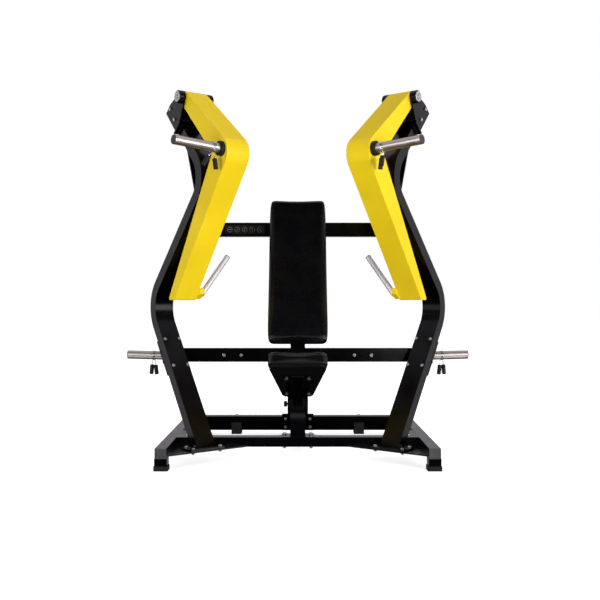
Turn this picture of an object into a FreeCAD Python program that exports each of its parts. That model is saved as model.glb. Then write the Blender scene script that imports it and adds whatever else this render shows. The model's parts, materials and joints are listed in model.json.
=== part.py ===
"""Plate-loaded chest press machine, in millimetres.

The origin is on the floor under the middle of the machine. X runs to the right of somebody
who stands in front of it, Y runs to the back and Z up. Each side frame (upright, pivot and
press arm) is drawn in its own vertical plane, which is turned in plan so that it faces inwards.
In that plane a point has a forward place, a height and an outward place.
"""
import FreeCAD, Part
import math
import os
import Sketcher

V = FreeCAD.Vector
SIDES = (("left", 1), ("right", -1))

SIZES = (
    # name, value, what it is
    ("plane_turn", 37.0, "turn of the side frames in plan, degrees"),
    ("plane_side", 501.0, "upright's front face at the floor, from the middle"),
    ("plane_back", 238.0, "the same point, behind the front feet"),
    ("origin_back", 571.0, "origin, behind the front feet"),
    ("tube_wall", 3.5, "wall of the frame tubes"),
    ("plate_thick", 10.0, "flanges"),
    ("rail_inner", 690.0, "inner face of a side rail, from the middle"),
    ("rail_wide", 62.0, "side rail, width"),
    ("rail_high", 55.0, "base tubes, height"),
    ("base_low", 65.0, "underside of the base tubes"),
    ("base_back", 1260.0, "front face of the rear bar"),
    ("foot_wide", 68.0, "front foot post"),
    ("shoe_wide", 76.0, "rubber shoe"),
    ("shoe_high", 26.0, "rubber shoe, height"),
    ("shoe_floor", 8.0, "rubber under the foot post"),
    ("front_rail_at", 378.0, "front face of the front rail"),
    ("front_rail_deep", 79.0, "front rail, front to back"),
    ("rear_bar_deep", 80.0, "rear bar, front to back"),
    ("rear_bar_low", 27.0, "rear bar, underside"),
    ("rear_pad_at", 411.0, "rear rubber pad, from the middle"),
    ("rear_pad_wide", 67.0, "rear rubber pad"),
    ("spine_wide", 80.0, "spine beam"),
    ("spine_flange", 211.0, "spine beam's flanges"),
    ("corner_plate", 8.0, "corner plate, thickness"),
    ("upright_wide", 120.0, "upright tube, across its plane"),
    ("upright_deep", 60.0, "upright tube, front to back"),
    ("arm_wide", 140.0, "press arm, across its plane"),
    ("arm_sheet", 5.0, "press arm's sheet"),
    ("pivot_ahead", -140.0, "pivot, forward of the upright's foot"),
    ("pivot_high", 2035.0, "pivot, above the floor"),
    ("pivot_round", 36.0, "rounded end of arm, cheeks and housings, radius"),
    ("cheek_in", 74.0, "inner face of a pivot cheek"),
    ("cheek_thick", 10.0, "pivot cheek"),
    ("shaft_round", 15.0, "pivot shaft, radius"),
    ("running_gap", 0.05, "radial clearance of a running fit"),
    ("bearing_round", 27.5, "bearing, outer radius"),
    ("bearing_long", 14.0, "bearing, width"),
    ("housing_long", 24.0, "bearing housing, length"),
    ("hub_round", 24.0, "arm hub, outer radius"),
    ("horn_round", 25.0, "weight horn and storage peg, radius"),
    ("horn_bore", 21.5, "weight horn and storage peg, inner radius"),
    ("horn_long", 282.0, "weight horn, length"),
    ("horn_tilt", 3.5, "upward tilt of the horns, degrees"),
    ("horn_ahead", 265.0, "weight horn on the arm, forward place"),
    ("horn_high", 1691.0, "weight horn on the arm, height"),
    ("grip_round", 11.5, "spring collar's grips, radius"),
    ("handle_round", 16.0, "handle tube, radius"),
    ("handle_bore", 13.0, "handle tube, inner radius"),
    ("handle_long", 268.0, "handle, length"),
    ("handle_rise", 51.6, "handle, rise above the level, degrees"),
    ("handle_root", 102.0, "inner face of the handle bracket"),
    ("crossbar_at", 658.0, "mid crossbar's middle, behind the front feet"),
    ("crossbar_deep", 60.0, "crossbars, front to back"),
    ("crossbar_high", 81.0, "mid crossbar, height"),
    ("crossbar_middle", 571.0, "mid crossbar's middle, above the floor"),
    ("crossbar_half", 790.0, "mid crossbar, half length"),
    ("peg_end", 1022.0, "storage peg's end, from the middle"),
    ("upper_bar_at", 950.0, "upper crossbar's middle, behind the front feet"),
    ("upper_bar_high", 88.0, "upper crossbar, height"),
    ("upper_bar_middle", 1345.0, "upper crossbar's middle, above the floor"),
    ("upper_leg_at", 535.0, "legs of the upper crossbar, from the middle"),
    ("column_wide", 85.0, "column, width"),
    ("column_deep", 80.0, "column, front to back"),
    ("back_lean", 23.0, "lean of the column and the backrest, degrees"),
    ("sleeve_wall", 7.0, "seat sleeve's wall"),
    ("liner_wall", 8.0, "plastic liner's wall"),
    ("slide_gap", 0.6, "gap between liner and column"),
    ("seat_tilt", 29.0, "seat, front up, degrees"),
    ("seat_front_wide", 335.0, "seat, front width"),
    ("seat_rear_wide", 188.0, "seat, rear width"),
    ("seat_long", 420.0, "seat, front to rear"),
    ("seat_thick", 66.0, "seat cushion, thickness"),
    ("board_thick", 18.0, "plywood boards"),
    ("back_low_wide", 342.0, "backrest, width at the bottom"),
    ("back_top_wide", 330.0, "backrest, width at the top"),
    ("back_long", 921.0, "backrest, length"),
    ("back_thick", 62.0, "backrest cushion, thickness"),
    ("bolt_round", 6.0, "frame bolts, shank radius"),
    ("bolt_hole", 6.5, "frame bolts, hole radius"),
    ("bolt_head", 8.0, "frame bolts, head height"),
    ("bolt_flats", 10.5, "frame bolts, hexagon's outer radius"),
)

doc = FreeCAD.newDocument("chest_press")
sheet = doc.addObject("Spreadsheet::Sheet", "Sizes")
for row, (alias, value, note) in enumerate(SIZES, start=1):
    sheet.set("A%d" % row, note)
    sheet.set("B%d" % row, str(value))
    sheet.setAlias("B%d" % row, alias)
doc.recompute()

size = {alias: float(getattr(sheet, alias)) for alias, value, note in SIZES}
nodes = {}


# ---------------------------------------------------------------- places and directions

def at(x, back, z):
    """A point of the machine, with its depth counted from the front feet."""
    return V(x, back - size["origin_back"], z)


def plane_axes(hand):
    """Forward, up and outward directions of a side frame; hand is 1 on the left, -1 on the right."""
    turn = math.radians(size["plane_turn"])
    forward = V(hand * math.sin(turn), -math.cos(turn), 0)
    outward = V(-hand * math.cos(turn), -math.sin(turn), 0)
    return forward, V(0, 0, 1), outward


def plane_point(hand, ahead, high, out):
    """A point of a side frame from its forward place, height and outward place."""
    forward, up, outward = plane_axes(hand)
    base = at(-hand * size["plane_side"], size["plane_back"], 0)
    return base + forward * ahead + up * high + outward * out


def plane_place(hand, ahead=0, high=0, out=0):
    """Placement whose X is forward, Y up and Z outward on the left, inward on the right."""
    forward, up, outward = plane_axes(hand)
    turn = FreeCAD.Rotation(forward, up, outward * hand, "XYZ")
    return FreeCAD.Placement(plane_point(hand, ahead, high, out), turn)


def plane_ray(hand, ahead, high, out, direction):
    """Placement at a side-frame point, with Z along a (forward, up, outward) direction."""
    forward, up, outward = plane_axes(hand)
    along = forward * direction[0] + up * direction[1] + outward * direction[2]
    return FreeCAD.Placement(plane_point(hand, ahead, high, out), FreeCAD.Rotation(V(0, 0, 1), along))


def lean_place(x, back, z, lean):
    """Placement with X to the right, Y up along a lean and Z forward, square to it."""
    return FreeCAD.Placement(at(x, back, z), FreeCAD.Rotation(V(1, 0, 0), 90 - lean))


def ray(point, along):
    """Placement at a point, with Z along a direction."""
    return FreeCAD.Placement(point, FreeCAD.Rotation(V(0, 0, 1), along))


# ---------------------------------------------------------------- outlines

def meet(first, second):
    """Where two lines cross; each is a point and a direction."""
    (px, py), (dx, dy) = first
    (qx, qy), (ex, ey) = second
    reach = ((qx - px) * ey - (qy - py) * ex) / (dx * ey - dy * ex)
    return px + dx * reach, py + dy * reach


def edge_line(start, end, shift):
    """The line through two points, moved to the right of its travel by shift."""
    dx = end[0] - start[0]
    dy = end[1] - start[1]
    length = math.hypot(dx, dy)
    return (start[0] + dy / length * shift, start[1] - dx / length * shift), (dx / length, dy / length)


def shifted(points, shifts):
    """A closed outline with each edge moved to the right of its travel by its own shift."""
    count = len(points)
    lines = [edge_line(points[i], points[(i + 1) % count], shifts[i]) for i in range(count)]
    return [meet(lines[i - 1], lines[i]) for i in range(count)]


def side_path(path, shift):
    """An open path moved to the right of its travel by shift."""
    lines = [edge_line(path[i], path[i + 1], shift) for i in range(len(path) - 1)]
    corners = [meet(lines[i], lines[i + 1]) for i in range(len(lines) - 1)]
    (ex, ey), (dx, dy) = lines[-1]
    length = math.dist(path[-2], path[-1])
    return [lines[0][0]] + corners + [(ex + dx * length, ey + dy * length)]


def band(path, radii, left, right):
    """Outline and corner radii of a band about an open path, its bends concentric."""
    turns = []
    for i in range(1, len(path) - 1):
        ax, ay = path[i][0] - path[i - 1][0], path[i][1] - path[i - 1][1]
        bx, by = path[i + 1][0] - path[i][0], path[i + 1][1] - path[i][1]
        turns.append(1 if ax * by - ay * bx > 0 else -1)
    rights = [radius + turn * right for radius, turn in zip(radii, turns)]
    lefts = [radius - turn * left for radius, turn in zip(radii, turns)]
    outline = side_path(path, right) + side_path(path, -left)[::-1]
    return outline, [0] + rights + [0, 0] + lefts[::-1] + [0]


def stretched(path, extra):
    """An open path with both ends moved out."""
    result = list(path)
    for end, inner in ((0, 1), (-1, -2)):
        dx, dy = path[end][0] - path[inner][0], path[end][1] - path[inner][1]
        length = math.hypot(dx, dy)
        result[end] = (path[end][0] + dx / length * extra, path[end][1] + dy / length * extra)
    return result


def touch_angle(centre, radius, point, side):
    """Angle on a circle where the tangent from an outside point touches it."""
    dx, dy = point[0] - centre[0], point[1] - centre[1]
    return math.atan2(dy, dx) + side * math.acos(radius / math.hypot(dx, dy))


def round_corners(centre, radius, first, last):
    """Two virtual corners about a circle, between two touch angles."""
    quarter = (last - first) / 4
    reach = radius / math.cos(quarter)
    return [(centre[0] + reach * math.cos(first + quarter * turn),
             centre[1] + reach * math.sin(first + quarter * turn)) for turn in (1, 3)]


def box_outline(low_x, low_y, high_x, high_y):
    return [(low_x, low_y), (high_x, low_y), (high_x, high_y), (low_x, high_y)]


# ---------------------------------------------------------------- features

def bind(thing, prop, formula):
    """Bind a property to the sheet; the formula's words are the sheet's names."""
    words = formula.split()
    words = ["Sizes." + word if word in size else word for word in words]
    thing.setExpression(prop, " ".join(words))


def new_body(label, place=None):
    body = doc.addObject("PartDesign::Body", label)
    body.Label = label
    body.AllowCompound = True
    body.Placement = place or FreeCAD.Placement(at(0, 0, 0), FreeCAD.Rotation())
    return body


def new_sketch(body, plane, lift):
    drawing = body.newObject("Sketcher::SketchObject", body.Name + "_sketch")
    support = [item for item in body.Origin.OriginFeatures if item.Role == plane][0]
    drawing.AttachmentSupport = [(support, "")]
    drawing.MapMode = "FlatFace"
    drawing.AttachmentOffset = FreeCAD.Placement(V(0, 0, lift), FreeCAD.Rotation())
    return drawing


def draw(drawing, points, radii=None):
    """Draw a closed outline of lines, each corner rounded by its radius, its ends joined up."""
    count = len(points)
    radii = radii or [0] * count
    corners = []
    for i in range(count):
        corner = V(points[i][0], points[i][1], 0)
        before = (V(points[i - 1][0], points[i - 1][1], 0) - corner).normalize()
        after = (V(points[(i + 1) % count][0], points[(i + 1) % count][1], 0) - corner).normalize()
        half = before.getAngle(after) / 2
        trim = radii[i] / math.tan(half)
        corners.append((corner, before, after, half, trim, radii[i]))
    ends = []
    for i in range(count):
        corner, before, after, half, trim, radius = corners[i]
        if radius > 0:
            middle = corner + (before + after).normalize() * (radius / math.sin(half))
            start = corner + before * trim - middle
            end = corner + after * trim - middle
            angles = [math.atan2(start.y, start.x), math.atan2(end.y, end.x)]
            left_turn = before.cross(after).z < 0
            circle = Part.Circle(middle, V(0, 0, 1), radius)
            if left_turn:
                index = drawing.addGeometry(Part.ArcOfCircle(circle, angles[0], angles[1]))
                ends.append((index, 1, 2))
            else:
                index = drawing.addGeometry(Part.ArcOfCircle(circle, angles[1], angles[0]))
                ends.append((index, 2, 1))
        follow = corners[(i + 1) % count]
        start = corner + after * trim
        end = follow[0] + follow[1] * follow[4]
        if (end - start).Length > 0.001:
            ends.append((drawing.addGeometry(Part.LineSegment(start, end)), 1, 2))
    for i in range(len(ends)):
        follow = ends[(i + 1) % len(ends)]
        joined = Sketcher.Constraint("Coincident", ends[i][0], ends[i][2], follow[0], follow[1])
        drawing.addConstraint(joined)


def draw_circle(drawing, formula, x=0.0, y=0.0, radius=10.0):
    """Draw a circle whose radius is bound to the sheet."""
    index = drawing.addGeometry(Part.Circle(V(x, y, 0), V(0, 0, 1), radius))
    drawing.addConstraint(Sketcher.Constraint("DistanceX", -1, 1, index, 3, x))
    drawing.addConstraint(Sketcher.Constraint("DistanceY", -1, 1, index, 3, y))
    bound = drawing.addConstraint(Sketcher.Constraint("Radius", index, radius))
    bind(drawing, "Constraints[%d]" % bound, formula)


def extrude(body, kind, drawing, formula, symmetric=True, backward=False):
    """Add a Pad or a Pocket; its length is bound to the sheet."""
    feature = body.newObject("PartDesign::" + kind, body.Name + "_" + kind.lower())
    feature.Profile = drawing
    feature.SideType = "Symmetric" if symmetric else "One side"
    feature.Reversed = backward
    bind(feature, "Length", formula)
    return feature


def pad(body, points, formula, radii=None, middle=0.0, plane="XY_Plane"):
    drawing = new_sketch(body, plane, middle)
    draw(drawing, points, radii)
    return extrude(body, "Pad", drawing, formula)


def pocket(body, points, formula, radii=None, middle=0.0, plane="XY_Plane"):
    drawing = new_sketch(body, plane, middle)
    draw(drawing, points, radii)
    return extrude(body, "Pocket", drawing, formula)


def drill(body, formula, x, y, long_formula, middle=0.0, plane="XY_Plane"):
    """A round hole through a body, square to one of its planes."""
    drawing = new_sketch(body, plane, middle)
    draw_circle(drawing, formula, x, y)
    return extrude(body, "Pocket", drawing, long_formula)


def turned(body, points, radii=None):
    """Revolve an outline, drawn as (radius, length), about the body's own Z."""
    drawing = new_sketch(body, "XZ_Plane", 0)
    draw(drawing, points, radii)
    feature = body.newObject("PartDesign::Revolution", body.Name + "_turned")
    feature.Profile = drawing
    feature.ReferenceAxis = (drawing, ["V_Axis"])
    feature.Angle = 360
    return feature


def hollow_tube(label, place, wide, deep, long, wall="tube_wall"):
    """Straight rectangular tube along the placement's Z, as an outer box less an inner one."""
    outer = doc.addObject("Part::Box", label + "_outer")
    inner = doc.addObject("Part::Box", label + "_inner")
    for prop, formula in (("Length", wide), ("Width", deep)):
        bind(outer, prop, formula)
        bind(inner, prop, formula + " - 2 * " + wall)
    bind(outer, "Height", long)
    bind(inner, "Height", long + " + 20")
    doc.recompute()
    half_x, half_y = outer.Length.Value / 2, outer.Width.Value / 2
    outer.Placement = place * FreeCAD.Placement(V(-half_x, -half_y, 0), FreeCAD.Rotation())
    shift = V(size[wall] - half_x, size[wall] - half_y, -10)
    inner.Placement = place * FreeCAD.Placement(shift, FreeCAD.Rotation())
    return cut(label, outer, [inner])


def plate(label, place, long, wide, thick):
    """Flat plate centred on a placement's X and Y, its thickness along Z."""
    slab = doc.addObject("Part::Box", label)
    for prop, formula in (("Length", long), ("Width", wide), ("Height", thick)):
        bind(slab, prop, formula)
    doc.recompute()
    corner = V(-slab.Length.Value / 2, -slab.Width.Value / 2, 0)
    slab.Placement = place * FreeCAD.Placement(corner, FreeCAD.Rotation())
    return slab


def moved_along(place, distance):
    """The placement shifted along its own Z."""
    return place * FreeCAD.Placement(V(0, 0, distance), FreeCAD.Rotation())


def rod(label, place, radius, long):
    """Round bar along a placement's Z."""
    bar = doc.addObject("Part::Cylinder", label)
    bind(bar, "Radius", radius)
    bind(bar, "Height", long)
    bar.Placement = place
    return bar


def join(label, parts):
    fused = doc.addObject("Part::MultiFuse", label)
    fused.Shapes = parts
    fused.Refine = True
    return fused


def cut(label, base, tools):
    """A shape less its tools."""
    tool = tools[0] if len(tools) == 1 else join(label + "_tools", tools)
    result = doc.addObject("Part::Cut", label)
    result.Base = base
    result.Tool = tool
    return result


def group(label, parts):
    """Separate solids of one kind, kept together as one sub-part."""
    bundle = doc.addObject("Part::Compound", label)
    bundle.Links = parts
    return bundle


def node(label, thing):
    """Register a finished sub-part under its own name."""
    thing.Label = label
    nodes[label] = thing
    return thing


# ---------------------------------------------------------------- bolts

HEX = 6
bolt_groups = {"base_bolts": [], "frame_bolts": [], "backrest_bolts": [], "seat_bolts": []}


def hexagon(height, low):
    radius = size["bolt_flats"]
    corners = [V(radius * math.cos(math.tau * i / HEX), radius * math.sin(math.tau * i / HEX), low)
               for i in range(HEX + 1)]
    return Part.Face(Part.makePolygon(corners)).extrude(V(0, 0, height))


def bolt(kind, place, grip, nut=True):
    """One bolt: its head stands on the placement's XY plane and its shank runs down through grip."""
    head = size["bolt_head"]
    below = grip + (head + 3 if nut else 0)
    solids = [Part.makeCylinder(size["bolt_round"], below, V(0, 0, -below))]
    if nut:
        solids.append(hexagon(head, -grip - head))
    solid = hexagon(head, 0).fuse(solids).removeSplitter()
    solid.Placement = place
    bolt_groups[kind].append(solid)


def bolt_holes(label, base, places, grip):
    """Cut the clearance holes of some bolts from a sub-part."""
    holes = []
    for index, place in enumerate(places):
        down = moved_along(place, -grip - 20)
        hole = rod("%s_hole_%d" % (label, index), down, "bolt_hole", "%g" % (grip + 60))
        holes.append(hole)
    return cut(label, base, holes)


# ---------------------------------------------------------------- base

wall = size["tube_wall"]
rail_middle = size["rail_inner"] + size["rail_wide"] / 2
base_middle = size["base_low"] + size["rail_high"] / 2
base_top = size["base_low"] + size["rail_high"]
side_along = FreeCAD.Rotation(V(0, 1, 0), V(0, 0, 1), V(1, 0, 0), "XYZ")
flange_from = size["base_back"] - size["plate_thick"]
FOOT_BACK = 4.0
RAIL_BOLTS = ((0.0, 46.0), (57.0, 46.0), (57.0, 104.0))
CAP_LIP = 3.0
CAP_PLUG = 15.0
CAP_GAP = 0.3
GUSSET_LOW = 30.0
GUSSET_LONG = 70.0
FLANGE_RISE = 18.0
RAIL_FLANGE_INWARD = 25.0
PLUG_GAP = 0.02


def place_at(x, back, z, turn=FreeCAD.Rotation()):
    return FreeCAD.Placement(at(x, back, z), turn)


def cap(label, place, wide, high):
    """Plastic cap in the end of a rectangular tube; Z of the placement points out of the tube."""
    lip = doc.addObject("Part::Box", label + "_lip")
    plug = doc.addObject("Part::Box", label + "_plug")
    lip.Length, lip.Width, lip.Height = wide, high, CAP_LIP
    inset = wall + CAP_GAP
    plug.Length, plug.Width, plug.Height = wide - 2 * inset, high - 2 * inset, CAP_PLUG
    lip.Placement = place * FreeCAD.Placement(V(-wide / 2, -high / 2, 0), FreeCAD.Rotation())
    corner = V(inset - wide / 2, inset - high / 2, -CAP_PLUG)
    plug.Placement = place * FreeCAD.Placement(corner, FreeCAD.Rotation())
    return join(label, [lip, plug])


def round_cap(label, place, bore, outer):
    """Plastic cap in the end of a round tube; Z of the placement points out of the tube."""
    plug = bore - PLUG_GAP
    lip = outer - CAP_GAP
    body = new_body(label, place)
    turned(body, [(0, -14), (plug, -14), (plug, 0), (lip, 0), (lip, 4), (0, 5)], radii=[0, 0, 0, 0, 2, 0])
    return body


end_caps = []
face_front = FreeCAD.Rotation(V(1, 0, 0), V(0, 0, 1), V(0, -1, 0), "XYZ")

for name, hand in SIDES:
    x = -hand * rail_middle
    label = name + "_side_rail"
    rail = new_body(label, place_at(x, 0, 0))
    rail_side = box_outline(CAP_LIP, size["base_low"], flange_from, base_top)
    pad(rail, rail_side, "rail_wide", plane="YZ_Plane")
    inner = box_outline(0, size["base_low"] + wall, flange_from + 5, base_top - wall)
    pocket(rail, inner, "rail_wide - 2 * tube_wall", plane="YZ_Plane")
    post = box_outline(FOOT_BACK, size["shoe_floor"], FOOT_BACK + size["foot_wide"], size["base_low"])
    pad(rail, post, "foot_wide", plane="YZ_Plane")
    gusset_back = FOOT_BACK + size["foot_wide"]
    gusset = [(gusset_back, GUSSET_LOW), (gusset_back, size["base_low"]),
              (gusset_back + GUSSET_LONG, size["base_low"])]
    pad(rail, gusset, "corner_plate", plane="YZ_Plane")
    flange = box_outline(flange_from, size["rear_bar_low"] + 3, size["base_back"], base_top + FLANGE_RISE)
    pad(rail, flange, "rail_wide + 60", plane="YZ_Plane", middle=hand * RAIL_FLANGE_INWARD)
    doc.recompute()
    rail_bolts = [place_at(x + hand * inward, flange_from, high, face_front) for inward, high in RAIL_BOLTS]
    for place in rail_bolts:
        bolt("base_bolts", place, size["plate_thick"] + size["rear_bar_deep"])
    node(label, bolt_holes(label + "_drilled", rail, rail_bolts, 40))
    end_caps.append(cap(name + "_rail_cap", place_at(x, CAP_LIP, base_middle, face_front),
                        size["rail_wide"], size["rail_high"]))

    label = name + "_foot_shoe"
    shoe = new_body(label, place_at(x, FOOT_BACK + size["foot_wide"] / 2, 0))
    outside = size["shoe_wide"] / 2
    inside = size["foot_wide"] / 2
    pad(shoe, box_outline(-outside, -outside, outside, outside), "shoe_high", radii=[5] * 4,
        middle=size["shoe_high"] / 2)
    pocket(shoe, box_outline(-inside, -inside, inside, inside), "2 * shoe_high",
           middle=size["shoe_floor"] + size["shoe_high"])
    node(label, shoe)

# front rail between the side rails
front_middle = size["front_rail_at"] + size["front_rail_deep"] / 2
front_start = place_at(-size["rail_inner"], front_middle, base_middle, side_along)
front_tube = hollow_tube("front_rail_tube", front_start, "front_rail_deep", "rail_high", "2 * rail_inner")
COLUMN_BOLT_SIDE = 76.0
COLUMN_BOLTS_BACK = (398.0, 440.0)
column_bolts = [place_at(side * COLUMN_BOLT_SIDE, back, base_top + size["plate_thick"])
                for side in (-1, 1) for back in COLUMN_BOLTS_BACK]
for place in column_bolts:
    bolt("base_bolts", place, size["rail_high"] + size["plate_thick"])
node("front_rail", bolt_holes("front_rail_drilled", front_tube, column_bolts, 80))

# rear bar with its rubber pads
rear_high = base_top - size["rear_bar_low"]
rear_middle = size["base_back"] + size["rear_bar_deep"] / 2
rear_half = size["rail_inner"] + size["rail_wide"] - CAP_LIP
rear_start = place_at(-rear_half, rear_middle, size["rear_bar_low"] + rear_high / 2, side_along)
rear_tube = hollow_tube("rear_tube", rear_start, "rear_bar_deep", "%g" % rear_high, "%g" % (2 * rear_half))
SPINE_BOLTS = [(side * 82.0, high) for side in (-1, 1) for high in (50.0, 104.0)]
rear_bolts = [place_at(x, flange_from, z, face_front) for x, z in SPINE_BOLTS]
for place in rear_bolts:
    bolt("base_bolts", place, size["plate_thick"] + size["rear_bar_deep"])
pad_bolts = [place_at(side * size["rear_pad_at"], rear_middle, base_top) for side in (-1, 1)]
for place in pad_bolts:
    bolt("base_bolts", place, rear_high - 1, nut=False)
side_bolts = [place_at(-hand * (rail_middle - inward), flange_from, high, face_front)
              for name, hand in SIDES for inward, high in RAIL_BOLTS]
node("rear_bar", bolt_holes("rear_bar_drilled", rear_tube, rear_bolts + side_bolts + pad_bolts, 120))
for side in (-1, 1):
    turn = FreeCAD.Rotation(V(0, side, 0), V(0, 0, 1), V(side, 0, 0), "XYZ")
    spot = place_at(side * rear_half, rear_middle, size["rear_bar_low"] + rear_high / 2, turn)
    end_caps.append(cap("rear_cap_%d" % side, spot, size["rear_bar_deep"], rear_high))
PAD_SIDE = 8.0
PAD_REACH = 52.0
for name, hand in SIDES:
    label = name + "_rear_pad"
    rubber = new_body(label, place_at(-hand * size["rear_pad_at"], rear_middle, 0))
    half = size["rear_bar_deep"] / 2
    low = size["rear_bar_low"]
    outside, inside, top = half + PAD_SIDE, half + CAP_GAP, low + PAD_REACH
    outline = [(-outside, 0), (outside, 0), (outside, top), (inside, top), (inside, low), (-inside, low),
               (-inside, top), (-outside, top)]
    pad(rubber, outline, "rear_pad_wide", radii=[6, 6, 3, 0, 0, 0, 0, 3], plane="YZ_Plane")
    node(label, rubber)

# spine beam along the floor
front_back = size["front_rail_at"] + size["front_rail_deep"]
spine = new_body("spine_beam", place_at(0, 0, 0))
spine_from = front_back + size["plate_thick"]
pad(spine, box_outline(spine_from, size["base_low"], flange_from, base_top), "spine_wide", plane="YZ_Plane")
pocket(spine, box_outline(front_back, size["base_low"] + wall, flange_from + 5, base_top - wall),
       "spine_wide - 2 * tube_wall", plane="YZ_Plane")
pad(spine, box_outline(front_back, size["base_low"], spine_from, base_top), "spine_flange", plane="YZ_Plane")
rear_flange = box_outline(flange_from, size["rear_bar_low"], size["base_back"], base_top + FLANGE_RISE)
pad(spine, rear_flange, "spine_flange", plane="YZ_Plane")
node("spine_beam", bolt_holes("spine_drilled", spine, rear_bolts, 40))

# corner plates that carry the uprights
FOOT_BOLT_OUT = 87.0
FOOT_BOLT_AHEAD = (-2.0, -79.0)
PLATE_EDGE = 18.0
foot_top = size["base_low"] + size["corner_plate"]
upright_foot = foot_top + size["plate_thick"]
plan_turn = math.radians(size["plane_turn"])
edge_x = -size["plane_side"] + PLATE_EDGE * math.sin(plan_turn)
edge_y = size["plane_back"] - PLATE_EDGE * math.cos(plan_turn)
inner_x = edge_x + (size["front_rail_at"] - edge_y) / math.tan(plan_turn)
outer_y = edge_y - (edge_x + size["rail_inner"]) * math.tan(plan_turn)
for name, hand in SIDES:
    label = name + "_corner_plate"
    beside_rail = -hand * size["rail_inner"]
    corner = [(-hand * abs(inner_x), size["front_rail_at"]), (beside_rail, size["front_rail_at"]),
              (beside_rail, outer_y)]
    corner_body = new_body(label)
    pad(corner_body, corner, "corner_plate", middle=size["base_low"] + size["corner_plate"] / 2)
    foot_bolts = [plane_ray(hand, ahead, upright_foot, out, (0, 1, 0))
                  for ahead in FOOT_BOLT_AHEAD for out in (-FOOT_BOLT_OUT, FOOT_BOLT_OUT)]
    for place in foot_bolts:
        bolt("base_bolts", place, size["plate_thick"] + size["corner_plate"])
    node(label, bolt_holes(label + "_drilled", corner_body, foot_bolts, 30))

# ---------------------------------------------------------------- uprights

WEB_THICK = 6.0
WEB_STOP = 30.0

lower_along = V(-540.0, 872.0 - upright_foot, 0).normalize()
lower_front = V(lower_along.y, -lower_along.x, 0)
CROSS_FLANGE_AT = 620.0
CROSS_BOLT_ALONG = 90.0
CROSS_BOLT_OUT = 47.0
top_along = V(-282.0, 308.0, 0).normalize()
top_front = V(top_along.y, -top_along.x, 0)
TOP_CENTRE = V(-172.0, 1884.0, 0) - top_front * 30


def top_point(along, front):
    """A point near the upright's top, from its places along and in front of the tube's middle."""
    spot = TOP_CENTRE + top_along * along + top_front * front
    return spot.x, spot.y


UPRIGHT_PATH = [(0.0, upright_foot), (-540.0, 872.0), (110.0, 1576.0), top_point(2, 30)]
UPRIGHT_BENDS = [160.0, 200.0]
CHORD_LOW = (-50.0, 1515.0)
CHORD_HIGH = (-128.0, 1745.0)
CHORD_THICK = 8.0


def lower_point(along, front):
    """A point on the lower run of an upright, from its front face."""
    spot = V(0, upright_foot, 0) + lower_along * along + lower_front * front
    return spot.x, spot.y


def arm_back_at(high):
    """Forward place of the arm's lower back edge at a height."""
    (ax, ay), (bx, by) = ARM_INNER, ARM_TIP_BACK
    return ax + (bx - ax) * (high - ay) / (by - ay)


ARM_OUTER = (355.0, 1693.0)
ARM_INNER = (168.0, 1683.0)
ARM_TIP_FRONT = (-248.0, 900.0)
ARM_TIP_BACK = (-313.0, 900.0)
STOP_LOW, STOP_HIGH = 1345.0, 1430.0
BUFFER_THICK = 16.0
STOP_GAP = 0.4
back_edge = V(ARM_INNER[0] - ARM_TIP_BACK[0], ARM_INNER[1] - ARM_TIP_BACK[1], 0).normalize()
back_out = V(-back_edge.y, back_edge.x, 0)


def behind_arm(high, depth):
    """A point behind the arm's back edge, square to it."""
    spot = V(arm_back_at(high), high, 0) + back_out * depth
    return spot.x, spot.y


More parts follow.
